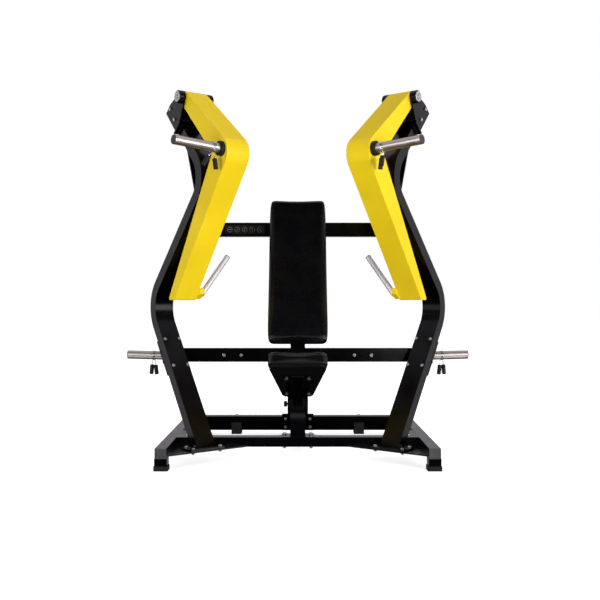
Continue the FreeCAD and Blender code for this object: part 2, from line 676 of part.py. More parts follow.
cross_bolts = {}
for name, hand in SIDES:
    label = name + "_upright"
    upright = new_body(label, plane_place(hand))
    outline, radii = band(UPRIGHT_PATH, UPRIGHT_BENDS, size["upright_deep"], 0)
    # the foot is cut level, not square to the tube
    outline[-1] = meet((outline[-2], (lower_along.x, lower_along.y)), ((0, upright_foot), (1, 0)))
    pad(upright, outline, "upright_wide", radii=radii)
    inner_path = stretched(UPRIGHT_PATH, 60)
    inner_outline, inner_radii = band(inner_path, UPRIGHT_BENDS, size["upright_deep"] - wall, -wall)
    pocket(upright, inner_outline, "upright_wide - 2 * tube_wall", radii=inner_radii)
    # foot flange, top plate, back gusset and stop bracket
    pad(upright, box_outline(-94, foot_top, 14, upright_foot), "upright_wide + 92")
    top_plate = [top_point(2, -36), top_point(2, 50), top_point(10, 50), top_point(10, -36)]
    pad(upright, top_plate, "2 * cheek_in + 2 * cheek_thick")
    upper = edge_line(UPRIGHT_PATH[2], UPRIGHT_PATH[3], -size["upright_deep"])
    middle = edge_line(UPRIGHT_PATH[1], UPRIGHT_PATH[2], -size["upright_deep"])
    chord = [meet(middle, edge_line(CHORD_LOW, CHORD_HIGH, shift)) for shift in (0, -CHORD_THICK)]
    chord += [meet(upper, edge_line(CHORD_LOW, CHORD_HIGH, shift)) for shift in (-CHORD_THICK, 0)]
    pad(upright, chord, "upright_wide - 20")
    front_line = edge_line(UPRIGHT_PATH[1], UPRIGHT_PATH[2], 0)
    stop = [behind_arm(high, BUFFER_THICK + STOP_GAP) for high in (STOP_LOW, STOP_HIGH)]
    stop += [meet(front_line, (behind_arm(high, 0), (back_out.x, back_out.y)))
             for high in (STOP_HIGH, STOP_LOW)]
    pad(upright, stop, "upright_wide - 30")
    doc.recompute()
    # clearance holes for the bolts of the mid crossbar, foot and pivot bracket
    spots = [lower_point(CROSS_FLANGE_AT + up, 0) for up in (-CROSS_BOLT_ALONG, CROSS_BOLT_ALONG)]
    cross_bolts[name] = [plane_ray(hand, spot[0], spot[1], out, (lower_front.x, lower_front.y, 0))
                         for spot in spots for out in (-CROSS_BOLT_OUT, CROSS_BOLT_OUT)]
    for place in cross_bolts[name]:
        bolt("frame_bolts", place, size["upright_deep"] + size["plate_thick"])
    foot_bolts = [plane_ray(hand, ahead, upright_foot, out, (0, 1, 0))
                  for ahead in FOOT_BOLT_AHEAD for out in (-FOOT_BOLT_OUT, FOOT_BOLT_OUT)]
    node(label, bolt_holes(label + "_drilled", upright, cross_bolts[name] + foot_bolts, 90))

    buffer = new_body(name + "_stop_buffer", plane_place(hand))
    rubber = [behind_arm(STOP_LOW, STOP_GAP), behind_arm(STOP_HIGH, STOP_GAP),
              behind_arm(STOP_HIGH, BUFFER_THICK + STOP_GAP), behind_arm(STOP_LOW, BUFFER_THICK + STOP_GAP)]
    pad(buffer, rubber, "upright_wide - 30", radii=[4, 4, 0, 0])
    node(name + "_stop_buffer", buffer)

    bracket = new_body(name + "_pivot_bracket", plane_place(hand))
    block = [top_point(10, -16), top_point(10, 56), top_point(160, 56), top_point(160, -16)]
    pad(bracket, block, "2 * cheek_in")
    hollow = [top_point(18, -10), top_point(18, 50), top_point(170, 50), top_point(170, -10)]
    pocket(bracket, hollow, "2 * cheek_in - 12")
    pivot = (size["pivot_ahead"], size["pivot_high"])
    reach = size["pivot_round"]
    low_corner, high_corner = top_point(10, 66), top_point(162, 48)
    first = touch_angle(pivot, reach, low_corner, 1)
    last = touch_angle(pivot, reach, high_corner, -1)
    last += math.tau if last < first else 0
    cheek = [top_point(10, -16), low_corner] + round_corners(pivot, reach, first, last)
    cheek += [high_corner, top_point(162, -16)]
    cheek_radii = [4, 4, reach, reach, 12, 4]
    for side in (-1, 1):
        middle_out = side * (size["cheek_in"] + size["cheek_thick"] / 2)
        pad(bracket, cheek, "cheek_thick", radii=cheek_radii, middle=middle_out)
    # web that closes the back of the bracket, short of the arm's rounded end
    touch = (pivot[0] + reach * math.cos(last), pivot[1] + reach * math.sin(last))
    (rear_x, rear_y), (along_x, along_y) = edge_line(high_corner, touch, 0)
    web_long = math.dist(high_corner, touch) - WEB_STOP
    web_line = [high_corner, (rear_x + along_x * web_long, rear_y + along_y * web_long)]
    web = band(web_line, [], 0, WEB_THICK)[0]
    pad(bracket, web, "2 * cheek_in")
    drill(bracket, "shaft_round + 2", pivot[0], pivot[1], "3 * cheek_in")
    doc.recompute()
    cheek_bolts = []
    for spot in (top_point(136, 34), top_point(55, 24)):
        for side in (-1, 1):
            out = side * (size["cheek_in"] + size["cheek_thick"])
            cheek_bolts.append(plane_ray(hand, spot[0], spot[1], out, (0, 0, side)))
    for place in cheek_bolts:
        bolt("frame_bolts", place, size["cheek_thick"] + 6)
    node(name + "_pivot_bracket", bolt_holes(name + "_bracket_drilled", bracket, cheek_bolts, 16))

    # two bearing housings with their bearings
    housings = []
    bearings = []
    for side in (-1, 1):
        out = side * (size["cheek_in"] + size["cheek_thick"])
        spot = plane_ray(hand, pivot[0], pivot[1], out, (0, 0, side))
        ring = new_body("%s_housing_%d" % (name, side), spot)
        seat = size["bearing_round"] + 0.02
        turned(ring, [(size["shaft_round"] + 3, 0), (reach, 0), (reach, size["housing_long"]),
                      (seat, size["housing_long"]), (seat, 4), (size["shaft_round"] + 3, 4)],
               radii=[0, 0, 3, 0, 0, 0])
        housings.append(ring)
        race = new_body("%s_bearing_%d" % (name, side), spot)
        bore = size["shaft_round"] + size["running_gap"]
        length = size["bearing_long"]
        rim = size["bearing_round"]
        turned(race, [(bore, 4), (rim, 4), (rim, 4 + length), (bore, 4 + length)])
        bearings.append(race)
    node(name + "_bearing_housings", group(name + "_bearing_housings", housings))
    node(name + "_bearings", group(name + "_bearings", bearings))
    shaft_reach = size["cheek_in"] + size["cheek_thick"] + 4 + size["bearing_long"]
    shaft_place = plane_ray(hand, pivot[0], pivot[1], -shaft_reach, (0, 0, 1))
    shaft = new_body(name + "_pivot_shaft", shaft_place)
    drawing = new_sketch(shaft, "XY_Plane", shaft_reach)
    draw_circle(drawing, "shaft_round", radius=size["shaft_round"])
    extrude(shaft, "Pad", drawing, "2 * cheek_in + 2 * cheek_thick + 2 * bearing_long + 8")
    node(name + "_pivot_shaft", shaft)
    covers = []
    for side in (-1, 1):
        out = side * (size["cheek_in"] + size["cheek_thick"] + size["housing_long"])
        cover_place = plane_ray(hand, pivot[0], pivot[1], out, (0, 0, side))
        cover = new_body("%s_cover_%d" % (name, side), cover_place)
        turned(cover, [(0, 0), (30, 0), (30, 4), (11, 4), (11, 8), (0, 8)], radii=[0, 0, 1.5, 0, 2, 0])
        covers.append(cover)
    node(name + "_pivot_covers", group(name + "_pivot_covers", covers))

# ---------------------------------------------------------------- press arms

pivot = (size["pivot_ahead"], size["pivot_high"])
round_end = size["pivot_round"]
top_touch = touch_angle(pivot, round_end, ARM_OUTER, 1)
back_touch = touch_angle(pivot, round_end, ARM_INNER, -1)
end_corners = round_corners(pivot, round_end, top_touch, back_touch + math.tau)
ARM_OUTLINE = [end_corners[0], ARM_OUTER, ARM_TIP_FRONT, ARM_TIP_BACK, ARM_INNER, end_corners[1]]
ARM_RADII = [round_end, 98, 14, 10, 25, round_end]
sheet_thick = size["arm_sheet"]
PLATE_START = 12.0
HORN_COLLAR_LONG = 20.0
GROOVE_WIDE = 3.0
GROOVE_DEEP = 0.4
HORN_GROOVE_AT = 66.0
PEG_GROOVE_AT = 86.0
CLIP_LONG = 22.0
handle_tilt = math.radians(size["handle_rise"])
HANDLE_AHEAD = -215.0
HANDLE_HIGH = 944.0


def grooved_tube(label, place, start, groove, end):
    """Bar that takes plates with a 50 mm hole; a shallow groove marks where its free end begins."""
    bore, outer = size["horn_bore"], size["horn_round"]
    body = new_body(label, place)
    turned(body, [(bore, start), (outer, start), (outer, groove), (outer - GROOVE_DEEP, groove),
                  (outer - GROOVE_DEEP, groove + GROOVE_WIDE), (outer, groove + GROOVE_WIDE),
                  (outer, end), (bore, end)])
    return body


for name, hand in SIDES:
    shell = new_body(name + "_arm_shell", plane_place(hand))
    pad(shell, ARM_OUTLINE, "arm_wide", radii=ARM_RADII)
    hollow = shifted(ARM_OUTLINE, [sheet_thick, sheet_thick, sheet_thick, -25, -25, round_end])
    pocket(shell, hollow, "arm_wide - 2 * arm_sheet", radii=[0, 98 - sheet_thick, 9, 0, 5, 0])
    drill(shell, "hub_round + 0.02", pivot[0], pivot[1], "2 * arm_wide")
    # bracket that carries the handle, welded inside the arm's foot
    out = (size["arm_wide"] / 2 + size["handle_root"]) / 2
    ear = [(-276, 912), (-246, 905), (-198, 936), (-198, 968), (-230, 968)]
    pad(shell, ear, "handle_root - arm_wide / 2", radii=[6, 8, 10, 10, 8], middle=-hand * out)
    node(name + "_arm_shell", shell)

    # plate that closes the back of the arm
    closer = new_body(name + "_arm_back_plate", plane_place(hand))
    touch = (pivot[0] + round_end * math.cos(back_touch), pivot[1] + round_end * math.sin(back_touch))
    length = math.dist(touch, ARM_INNER)
    share = PLATE_START / length
    start = (touch[0] + (ARM_INNER[0] - touch[0]) * share, touch[1] + (ARM_INNER[1] - touch[1]) * share)
    low = ARM_TIP_BACK[1] + sheet_thick + 6
    foot = (arm_back_at(low), low)
    back_path = [start, ARM_INNER, foot]
    strip, strip_radii = band(back_path, [25], sheet_thick, 0)
    pad(closer, strip, "arm_wide - 2 * arm_sheet - 0.4", radii=strip_radii)
    node(name + "_arm_back_plate", closer)

    hub = new_body(name + "_arm_hub", plane_ray(hand, pivot[0], pivot[1], 0, (0, 0, 1)))
    drawing = new_sketch(hub, "XY_Plane", 0)
    draw_circle(drawing, "hub_round", radius=size["hub_round"])
    draw_circle(drawing, "shaft_round + 0.01", radius=size["shaft_round"])
    extrude(hub, "Pad", drawing, "arm_wide + 4")
    node(name + "_arm_hub", hub)

    # weight horn with its rubber collar and end cap
    tilt = math.radians(size["horn_tilt"])
    horn_along = (0, math.sin(tilt), math.cos(tilt))
    horn_place = plane_ray(hand, size["horn_ahead"], size["horn_high"], size["arm_wide"] / 2 + 2, horn_along)
    outer, length = size["horn_round"], size["horn_long"]
    arm_face = plane_ray(hand, size["horn_ahead"], size["horn_high"], size["arm_wide"] / 2, (0, 0, -1))
    arm_side = plate(name + "_arm_side", arm_face, "200", "200", "60")
    horn_tube = grooved_tube(name + "_horn_tube", horn_place, -6, HORN_GROOVE_AT, length)
    node(name + "_weight_horn", cut(name + "_weight_horn", horn_tube, [arm_side]))
    collar = new_body(name + "_collar_ring", horn_place)
    turned(collar, [(outer + 0.02, -6), (39, -6), (39, HORN_COLLAR_LONG), (outer + 0.02, HORN_COLLAR_LONG)],
           radii=[0, 0, 4, 0])
    node(name + "_horn_collar", cut(name + "_horn_collar", collar, [arm_side]))

    # handle, trimmed flat where it is welded to its bracket
    rise = (0, math.sin(handle_tilt), -math.cos(handle_tilt))
    handle_place = plane_ray(hand, HANDLE_AHEAD, HANDLE_HIGH, -size["handle_root"], rise)
    grip_outer = rod(name + "_grip_outer", moved_along(handle_place, -40), "handle_round",
                     "handle_long + 40")
    grip_inner = rod(name + "_grip_inner", moved_along(handle_place, -50), "handle_bore", "handle_long + 70")
    # everything outward of the bracket's inner face is trimmed away
    bracket_face = plane_ray(hand, HANDLE_AHEAD, HANDLE_HIGH, -size["handle_root"], (0, 0, 1))
    trim = plate(name + "_grip_trim", bracket_face, "200", "200", "100")
    node(name + "_handle", cut(name + "_handle", grip_outer, [grip_inner, trim]))
    grip_cap = round_cap(name + "_grip_cap", moved_along(handle_place, size["handle_long"]),
                         size["handle_bore"], size["handle_round"])
    horn_cap = round_cap(name + "_horn_cap", moved_along(horn_place, length), size["horn_bore"], outer)
    node(name + "_arm_caps", group(name + "_arm_caps", [grip_cap, horn_cap]))


# ---------------------------------------------------------------- crossbars and storage pegs

GRIP_SHIFT = 3.0


def spring_clip(label, place, hangs):
    """Spring collar round a 50 mm bar along the placement's Z, a grip hanging along each direction."""
    ring = new_body(label + "_ring", place)
    bore = size["horn_round"] + size["running_gap"]
    turned(ring, [(bore, 0), (bore + 6, 0), (bore + 6, CLIP_LONG), (bore, CLIP_LONG)], radii=[0, 3, 3, 0])
    pieces = [ring]
    for index, hang in enumerate(hangs):
        local = place.Rotation.inverted().multVec(hang.normalize())
        side = -1 if index == 0 else 1
        across = V(local.x, local.y, 0).normalize()
        leg_start = V(0, 0, CLIP_LONG / 2 + side * (CLIP_LONG / 2 - 1.5)) + across * (bore + 3)
        turn = FreeCAD.Rotation(V(0, 0, 1), local)
        leg = rod("%s_leg_%d" % (label, index), place * FreeCAD.Placement(leg_start, turn), "3", "46")
        grip_start = leg_start + local * 36 + V(0, 0, side * GRIP_SHIFT)
        grip_place = place * FreeCAD.Placement(grip_start, turn)
        grip = rod("%s_grip_%d" % (label, index), grip_place, "grip_round", "56")
        pieces += [leg, grip]
    return join(label, pieces)


half_high = size["crossbar_high"] / 2
cross_front = size["crossbar_at"] - size["crossbar_deep"] / 2
cross_tube = hollow_tube("cross_tube", place_at(-size["crossbar_half"], size["crossbar_at"],
                                                size["crossbar_middle"], side_along),
                         "crossbar_deep", "crossbar_high", "2 * crossbar_half")
cross_parts = [cross_tube]
all_cross_bolts = cross_bolts["left"] + cross_bolts["right"]
WEDGE_WIDE = 90.0
WEDGE_DEEP = 130.0
WEDGE_AT = 743.0
OFF_CUT = 390.0
for name, hand in SIDES:
    spot = lower_point(CROSS_FLANGE_AT, -size["upright_deep"])
    back = (-lower_front.x, -lower_front.y, 0)
    forward, up, outward = plane_axes(hand)
    normal = forward * back[0] + up * back[1]
    along = forward * lower_along.x + up * lower_along.y
    turn = FreeCAD.Rotation(along, normal.cross(along), normal, "XYZ")
    flange_spot = FreeCAD.Placement(plane_point(hand, spot[0], spot[1], 5), turn)
    cross_parts.append(plate(name + "_cross_flange", flange_spot, "230", "112", "plate_thick"))
    # wedge box between the flange and the crossbar
    wedge = doc.addObject("Part::Box", name + "_wedge")
    wedge.Length, wedge.Width, wedge.Height = WEDGE_WIDE, WEDGE_DEEP, size["crossbar_high"]
    wedge.Placement = place_at(-hand * WEDGE_AT - WEDGE_WIDE / 2, cross_front - WEDGE_DEEP + 1,
                               size["crossbar_middle"] - half_high)
    behind_face = moved_along(FreeCAD.Placement(plane_point(hand, spot[0], spot[1], 0), turn), -OFF_CUT)
    keep_out = plate(name + "_wedge_cut", behind_face, "700", "700", "%g" % (OFF_CUT + 5))
    cross_parts.append(cut(name + "_wedge_cut_off", wedge, [keep_out]))
    end_turn = FreeCAD.Rotation(V(0, hand, 0), V(0, 0, 1), V(hand, 0, 0), "XYZ")
    end_spot = place_at(-hand * size["crossbar_half"], size["crossbar_at"], size["crossbar_middle"],
                        end_turn)
    cross_parts.append(plate(name + "_peg_plate", end_spot, "crossbar_deep", "crossbar_high", "8"))
mid_frame = join("mid_frame", cross_parts)
CROSS_BOLT_SIDES = (-440.0, -338.0, 338.0, 440.0)
front_bolts = [place_at(x, cross_front, size["crossbar_middle"], face_front) for x in CROSS_BOLT_SIDES]
for place in front_bolts:
    bolt("frame_bolts", place, size["crossbar_deep"])
mid_drilled = bolt_holes("mid_front_drilled", mid_frame, front_bolts, 60)
node("mid_crossbar", bolt_holes("mid_crossbar", mid_drilled, all_cross_bolts, 75))

PEG_RISE = 1.6
PEG_LOWER = 5.0
PEG_CLIP_AT = 62.0
HORN_CLIP_AT = 42.0
WELD_GAP = 0.7
for name, hand in SIDES:
    rise = math.radians(PEG_RISE)
    along = V(-hand * math.cos(rise), 0, math.sin(rise))
    start = at(-hand * (size["crossbar_half"] + WELD_GAP), size["crossbar_at"],
               size["crossbar_middle"] - PEG_LOWER)
    length = size["peg_end"] - size["crossbar_half"] - 5
    node(name + "_storage_peg",
         grooved_tube(name + "_storage_peg", ray(start, along), 0, PEG_GROOVE_AT, length))
    end_caps.append(round_cap(name + "_peg_cap", ray(start + along * length, along),
                              size["horn_bore"], size["horn_round"]))
    node(name + "_peg_clip", spring_clip(name + "_peg_clip", ray(start + along * PEG_CLIP_AT, along),
                                          (V(0, 0, -1), V(0, 0, -1))))
    horn_spot = plane_ray(hand, size["horn_ahead"], size["horn_high"], size["arm_wide"] / 2 + 2, horn_along)
    clip_place = moved_along(horn_spot, HORN_CLIP_AT)
    forward, up, outward = plane_axes(hand)
    # the left collar has sprung open, the right one is closed
    hangs = {"left": (outward * -0.05 - up, outward * 0.6 - up), "right": (up * -1, forward * 0.45 - up)}
    node(name + "_horn_clip", spring_clip(name + "_horn_clip", clip_place, hangs[name]))

# upper crossbar: one bent tube in plan, cut against the inner faces of the uprights
leg = size["upper_leg_at"]
upper_back = size["upper_bar_at"]
UPPER_BENDS = [50.0, 50.0]
upper_body = new_body("upper_bar_tube", place_at(0, 0, 0))
upper_path = [(-leg, 330.0), (-leg, upper_back), (leg, upper_back), (leg, 330.0)]
half_deep = size["crossbar_deep"] / 2
outline, radii = band(upper_path, UPPER_BENDS, half_deep, half_deep)
pad(upper_body, outline, "upper_bar_high", radii=radii, middle=size["upper_bar_middle"])
inside_half = half_deep - wall
inner_outline, inner_radii = band(stretched(upper_path, 10), UPPER_BENDS, inside_half, inside_half)
pocket(upper_body, inner_outline, "upper_bar_high - 2 * tube_wall", radii=inner_radii,
       middle=size["upper_bar_middle"])
upper_parts = []
trims = []
UPPER_FLANGE_AHEAD = -150.0
for name, hand in SIDES:
    forward, up, outward = plane_axes(hand)
    turn = FreeCAD.Rotation(forward, outward.cross(forward), outward * -1, "ZXY")
    inner_side = -size["upright_wide"] / 2
    flange_middle = plane_point(hand, UPPER_FLANGE_AHEAD, size["upper_bar_middle"], inner_side)
    spot = FreeCAD.Placement(flange_middle, turn)
    upper_parts.append(plate(name + "_upper_flange", spot, "130", "130", "plate_thick"))
    outside = moved_along(spot, size["plate_thick"] / 2 - 300)
    trims.append(plate(name + "_upper_trim", outside, "500", "400", "300"))
upper_cut = cut("upper_bar_cut", upper_body, trims)
node("upper_crossbar", join("upper_crossbar", [upper_cut] + upper_parts))

# ---------------------------------------------------------------- column, seat and backrest

lean = math.radians(size["back_lean"])
slope = math.tan(lean)
COLUMN_FRONT_AT = (475.0, 573.0)
column_half = size["column_deep"] / 2
centre_back = COLUMN_FRONT_AT[0] + column_half / math.cos(lean)
COLUMN_BEND_HIGH = 238.0
COLUMN_TOP_HIGH = 1415.0


def column_back_at(high):
    """Depth of the leaning column's middle at a height."""
    return centre_back + (high - COLUMN_FRONT_AT[1]) * slope


column_foot = column_back_at(COLUMN_BEND_HIGH)
column_path = [(column_foot, base_top + 10), (column_foot, COLUMN_BEND_HIGH),
               (column_back_at(COLUMN_TOP_HIGH), COLUMN_TOP_HIGH)]
column = new_body("column_tube", place_at(0, 0, 0))
outline, radii = band(column_path, [150.0], column_half, column_half)
pad(column, outline, "column_wide", radii=radii, plane="YZ_Plane")
inner_outline, inner_radii = band(stretched(column_path, 5), [150.0], column_half - wall, column_half - wall)
pocket(column, inner_outline, "column_wide - 2 * tube_wall", radii=inner_radii, plane="YZ_Plane")
flange_front = column_foot - column_half - 12
foot_flange = box_outline(flange_front, base_top, front_back, base_top + size["plate_thick"])
pad(column, foot_flange, "2 * column_wide + 16", plane="YZ_Plane")
# brackets to the two crossbars, and rails for the backrest board
for high, face, reach in ((size["crossbar_middle"], cross_front, 70),
                          (size["upper_bar_middle"], upper_back - half_deep, 80)):
    low, top = high - reach / 2, high + reach / 2
    gap = column_half / math.cos(lean)
    tongue = [(column_back_at(low) + gap, low), (face, low), (face, top), (column_back_at(top) + gap, top)]
    pad(column, tongue, "column_wide - 15", plane="YZ_Plane")
BACK_FRONT_LOW = (420.0, 667.0)
back_place = lean_place(0, BACK_FRONT_LOW[0], BACK_FRONT_LOW[1], size["back_lean"])
pad_depth = size["back_thick"] + size["board_thick"]
column_offset = (V(0, COLUMN_FRONT_AT[0], COLUMN_FRONT_AT[1]) - V(0, *BACK_FRONT_LOW))
column_front_deep = -column_offset.dot(V(0, -math.cos(lean), math.sin(lean)))
spacer = column_front_deep - pad_depth
doc.recompute()
BACK_BRACKETS = (190.0, 700.0)
SCREW_DEPTH = 14.0
bracket_plates = []
back_bolts = []
for index, up in enumerate(BACK_BRACKETS):
    spot = back_place * FreeCAD.Placement(V(0, up, -column_front_deep), FreeCAD.Rotation())
    bracket_plates.append(plate("back_bracket_%d" % index, spot, "240", "50", "%g" % spacer))
    for side in (-1, 1):
        back_bolts.append(spot * FreeCAD.Placement(V(side * 95, 0, 0), FreeCAD.Rotation(V(1, 0, 0), 180)))
for place in back_bolts:
    bolt("backrest_bolts", place, spacer + SCREW_DEPTH, nut=False)
column_joined = join("column_joined", [column] + bracket_plates)
# row of holes in the column's left wall, one for each height of the seat
PIN_HIGH = 307.0
PIN_BEHIND = -4.0
PIN_PITCH = 30.0
PIN_STEPS = 6
pin_holes = []
for step in range(PIN_STEPS):
    high = PIN_HIGH + step * PIN_PITCH * math.cos(lean)
    hole_place = ray(at(-size["column_wide"] / 2 - 10, column_back_at(high) + PIN_BEHIND, high), V(1, 0, 0))
    pin_holes.append(rod("pin_hole_%d" % step, hole_place, "7.5", "20"))
column_pierced = cut("column_pierced", column_joined, pin_holes)
column_drilled = bolt_holes("column_back_drilled", column_pierced, back_bolts, 20)
node("column", bolt_holes("column", column_drilled, column_bolts, 20))
top_turn = FreeCAD.Rotation(V(1, 0, 0), -size["back_lean"])
end_caps.append(cap("column_cap", place_at(0, column_back_at(COLUMN_TOP_HIGH), COLUMN_TOP_HIGH, top_turn),
                    size["column_wide"], size["column_deep"]))
node("end_caps", group("end_caps", end_caps))


def tapered(low_wide, high_wide, long, inset=0.0):
    """A symmetric outline that changes width along its length."""
    return [(-low_wide / 2 + inset, inset), (low_wide / 2 - inset, inset),
            (high_wide / 2 - inset, long - inset), (-high_wide / 2 + inset, long - inset)]


back_cushion = new_body("backrest_cushion", back_place)
wide_low, wide_top, back_long = size["back_low_wide"], size["back_top_wide"], size["back_long"]
pad(back_cushion, tapered(wide_low, wide_top, back_long), "back_thick", radii=[28, 28, 24, 24],
    middle=-size["back_thick"] / 2)
node("backrest_cushion", back_cushion)
back_board = new_body("backrest_board_blank", back_place)
pad(back_board, tapered(wide_low, wide_top, back_long, 12), "board_thick", radii=[22, 22, 18, 18],
    middle=-size["back_thick"] - size["board_thick"] / 2)
doc.recompute()
node("backrest_board", bolt_holes("backrest_board", back_board, back_bolts, 20))

# seat sleeve round the leaning column
SLEEVE_LOW, SLEEVE_HIGH = 262.0, 352.0
sleeve_place = lean_place(0, column_back_at(SLEEVE_LOW), SLEEVE_LOW, size["back_lean"])
sleeve_long = (SLEEVE_HIGH - SLEEVE_LOW) / math.cos(lean)
upright_turn = FreeCAD.Rotation(V(1, 0, 0), -90)
tube_place = sleeve_place * FreeCAD.Placement(V(0, 0, 0), upright_turn)
liner_wide = "column_wide + 2 * slide_gap + 2 * liner_wall"
liner_deep = "column_deep + 2 * slide_gap + 2 * liner_wall"
liner = hollow_tube("seat_sleeve_liner", tube_place, liner_wide, liner_deep, "%g" % sleeve_long,
                    wall="liner_wall")
node("seat_sleeve_liner", liner)
outer_wide = liner_wide + " + 2 * sleeve_wall"
outer_deep = liner_deep + " + 2 * sleeve_wall"
sleeve_tube = hollow_tube("seat_sleeve_tube", tube_place, outer_wide, outer_deep, "%g" % sleeve_long,
                          wall="sleeve_wall")
# seat bracket: box arm from the sleeve, up under the seat board
SEAT_REAR_LOW = (355.0, 351.0)
SEAT_PLATE = 6.0
tilt = math.radians(size["seat_tilt"])


def under_seat(ahead, below):
    """A point under the seat, from the rear end of its underside; (depth, height)."""
    return (SEAT_REAR_LOW[0] - ahead * math.cos(tilt) - below * math.sin(tilt),
            SEAT_REAR_LOW[1] + ahead * math.sin(tilt) - below * math.cos(tilt))


def sleeve_front_at(high):
    """Depth of the sleeve's front face at a height."""
    depth = column_half + size["slide_gap"] + size["liner_wall"] + size["sleeve_wall"]
    return column_back_at(high) - depth / math.cos(lean)


seat_arm = new_body("seat_bracket", place_at(0, 0, 0))
arm_side = [(sleeve_front_at(272) + 1, 272), (sleeve_front_at(345) + 1, 345), under_seat(16, 0),
            under_seat(300, 0), under_seat(300, 14), under_seat(130, 60)]
pad(seat_arm, arm_side, "56", plane="YZ_Plane")
seat_plate = [under_seat(20, 0), under_seat(310, 0), under_seat(310, SEAT_PLATE), under_seat(20, SEAT_PLATE)]
pad(seat_arm, seat_plate, "150", plane="YZ_Plane")
doc.recompute()
pin_place = ray(at(-54, column_back_at(PIN_HIGH) + PIN_BEHIND, PIN_HIGH), V(-1, 0, 0))
pin_bore = rod("pin_bore", moved_along(pin_place, -30), "7", "60")
sleeve_joined = join("sleeve_joined", [sleeve_tube, seat_arm])
seat_place = FreeCAD.Placement(at(0, *SEAT_REAR_LOW),
                               FreeCAD.Rotation(V(-1, 0, 0), V(0, -math.cos(tilt), math.sin(tilt)),
                                                V(0, math.sin(tilt), math.cos(tilt)), "XYZ"))
facing_up = FreeCAD.Rotation(V(1, 0, 0), 180)
seat_bolts = [seat_place * FreeCAD.Placement(V(side * 60, ahead, -SEAT_PLATE), facing_up)
              for side in (-1, 1) for ahead in (60, 270)]
for place in seat_bolts:
    bolt("seat_bolts", place, SEAT_PLATE + SCREW_DEPTH, nut=False)
sleeve_drilled = bolt_holes("sleeve_seat_drilled", sleeve_joined, seat_bolts, 20)
node("seat_sleeve", cut("seat_sleeve", sleeve_drilled, [pin_bore]))
node("seat_sleeve_liner", cut("seat_liner_bored", liner, [pin_bore]))
pin = new_body("seat_pull_pin", pin_place)
turned(pin, [(0, -9), (6.9, -9), (6.9, 7.6), (14, 7.6), (17, 12), (17, 22), (12, 26), (0, 26)],
       radii=[0, 1, 0, 2, 3, 4, 3, 0])
node("seat_pull_pin", pin)

seat_board = new_body("seat_board_blank", seat_place)
rear_wide, front_wide, seat_long = size["seat_rear_wide"], size["seat_front_wide"], size["seat_long"]
pad(seat_board, tapered(rear_wide, front_wide, seat_long, 10), "board_thick", radii=[24, 24, 34, 34],
    middle=size["board_thick"] / 2)
doc.recompute()
node("seat_board", bolt_holes("seat_board", seat_board, seat_bolts, 20))
seat_cushion = new_body("seat_cushion", seat_place)
pad(seat_cushion, tapered(rear_wide, front_wide, seat_long), "seat_thick", radii=[30, 30, 42, 42],
    middle=size["board_thick"] + size["seat_thick"] / 2)
node("seat_cushion", seat_cushion)

for label, solids in bolt_groups.items():
    fasteners = doc.addObject("Part::Feature", label)
    fasteners.Shape = Part.Compound(solids)
    node(label, fasteners)

# ---------------------------------------------------------------- checks and files

doc.recompute()
broken = [item.Name for item in doc.Objects if {"Invalid", "Error"} & set(item.State)]
assert not broken, "failed objects: %s" % broken
for label, thing in nodes.items():
    assert not thing.Shape.isNull() and thing.Shape.isValid(), label + " has no valid shape"

os.makedirs("parts", exist_ok=True)
whole = FreeCAD.BoundBox()
for label, thing in nodes.items():
    thing.Shape.exportStep("parts/%s.step" % label)
    whole.add(thing.Shape.BoundBox)
print("sub-parts %d, box X %.1f..%.1f  Y %.1f..%.1f  Z %.1f..%.1f" % (
    len(nodes), whole.XMin, whole.XMax, whole.YMin, whole.YMax, whole.ZMin, whole.ZMax))
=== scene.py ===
"""Looks of a plate-loaded chest press machine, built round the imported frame, in metres."""
import json
import math

import bmesh
import bpy
from mathutils import Matrix, Vector
from mathutils.bvhtree import BVHTree
from mathutils.kdtree import KDTree


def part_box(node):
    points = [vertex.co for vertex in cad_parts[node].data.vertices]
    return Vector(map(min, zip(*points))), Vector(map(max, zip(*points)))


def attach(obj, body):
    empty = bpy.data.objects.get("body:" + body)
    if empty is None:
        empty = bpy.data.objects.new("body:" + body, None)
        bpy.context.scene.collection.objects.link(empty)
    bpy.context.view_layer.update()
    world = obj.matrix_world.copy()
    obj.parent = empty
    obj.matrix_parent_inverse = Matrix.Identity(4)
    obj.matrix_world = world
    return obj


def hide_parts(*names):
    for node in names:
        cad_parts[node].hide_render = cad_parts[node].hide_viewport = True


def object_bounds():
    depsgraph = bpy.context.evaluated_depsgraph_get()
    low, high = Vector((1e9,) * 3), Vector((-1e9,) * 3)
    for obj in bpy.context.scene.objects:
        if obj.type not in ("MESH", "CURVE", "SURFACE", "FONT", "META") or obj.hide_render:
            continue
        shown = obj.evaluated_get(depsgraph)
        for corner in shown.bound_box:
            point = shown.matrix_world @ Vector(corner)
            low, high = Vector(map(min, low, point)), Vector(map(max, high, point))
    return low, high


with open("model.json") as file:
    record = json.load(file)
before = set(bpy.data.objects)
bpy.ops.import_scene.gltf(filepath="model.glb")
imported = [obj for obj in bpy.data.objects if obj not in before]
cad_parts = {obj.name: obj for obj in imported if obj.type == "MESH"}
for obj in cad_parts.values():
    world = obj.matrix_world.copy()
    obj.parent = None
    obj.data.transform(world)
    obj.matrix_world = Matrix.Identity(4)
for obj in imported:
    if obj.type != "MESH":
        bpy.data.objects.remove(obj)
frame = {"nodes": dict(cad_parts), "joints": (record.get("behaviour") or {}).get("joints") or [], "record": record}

cad_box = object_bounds()
NODES = frame["nodes"]
BODY_OF = {node: body for body, members in frame["record"]["behaviour"]["bodies"].items() for node in members}
JOINTS = {joint["name"]: joint for joint in frame["joints"]}
SIDES = ("left", "right")
MM = 0.001

BACK_LEAN = math.radians(23)
SEAT_TILT = math.radians(29)


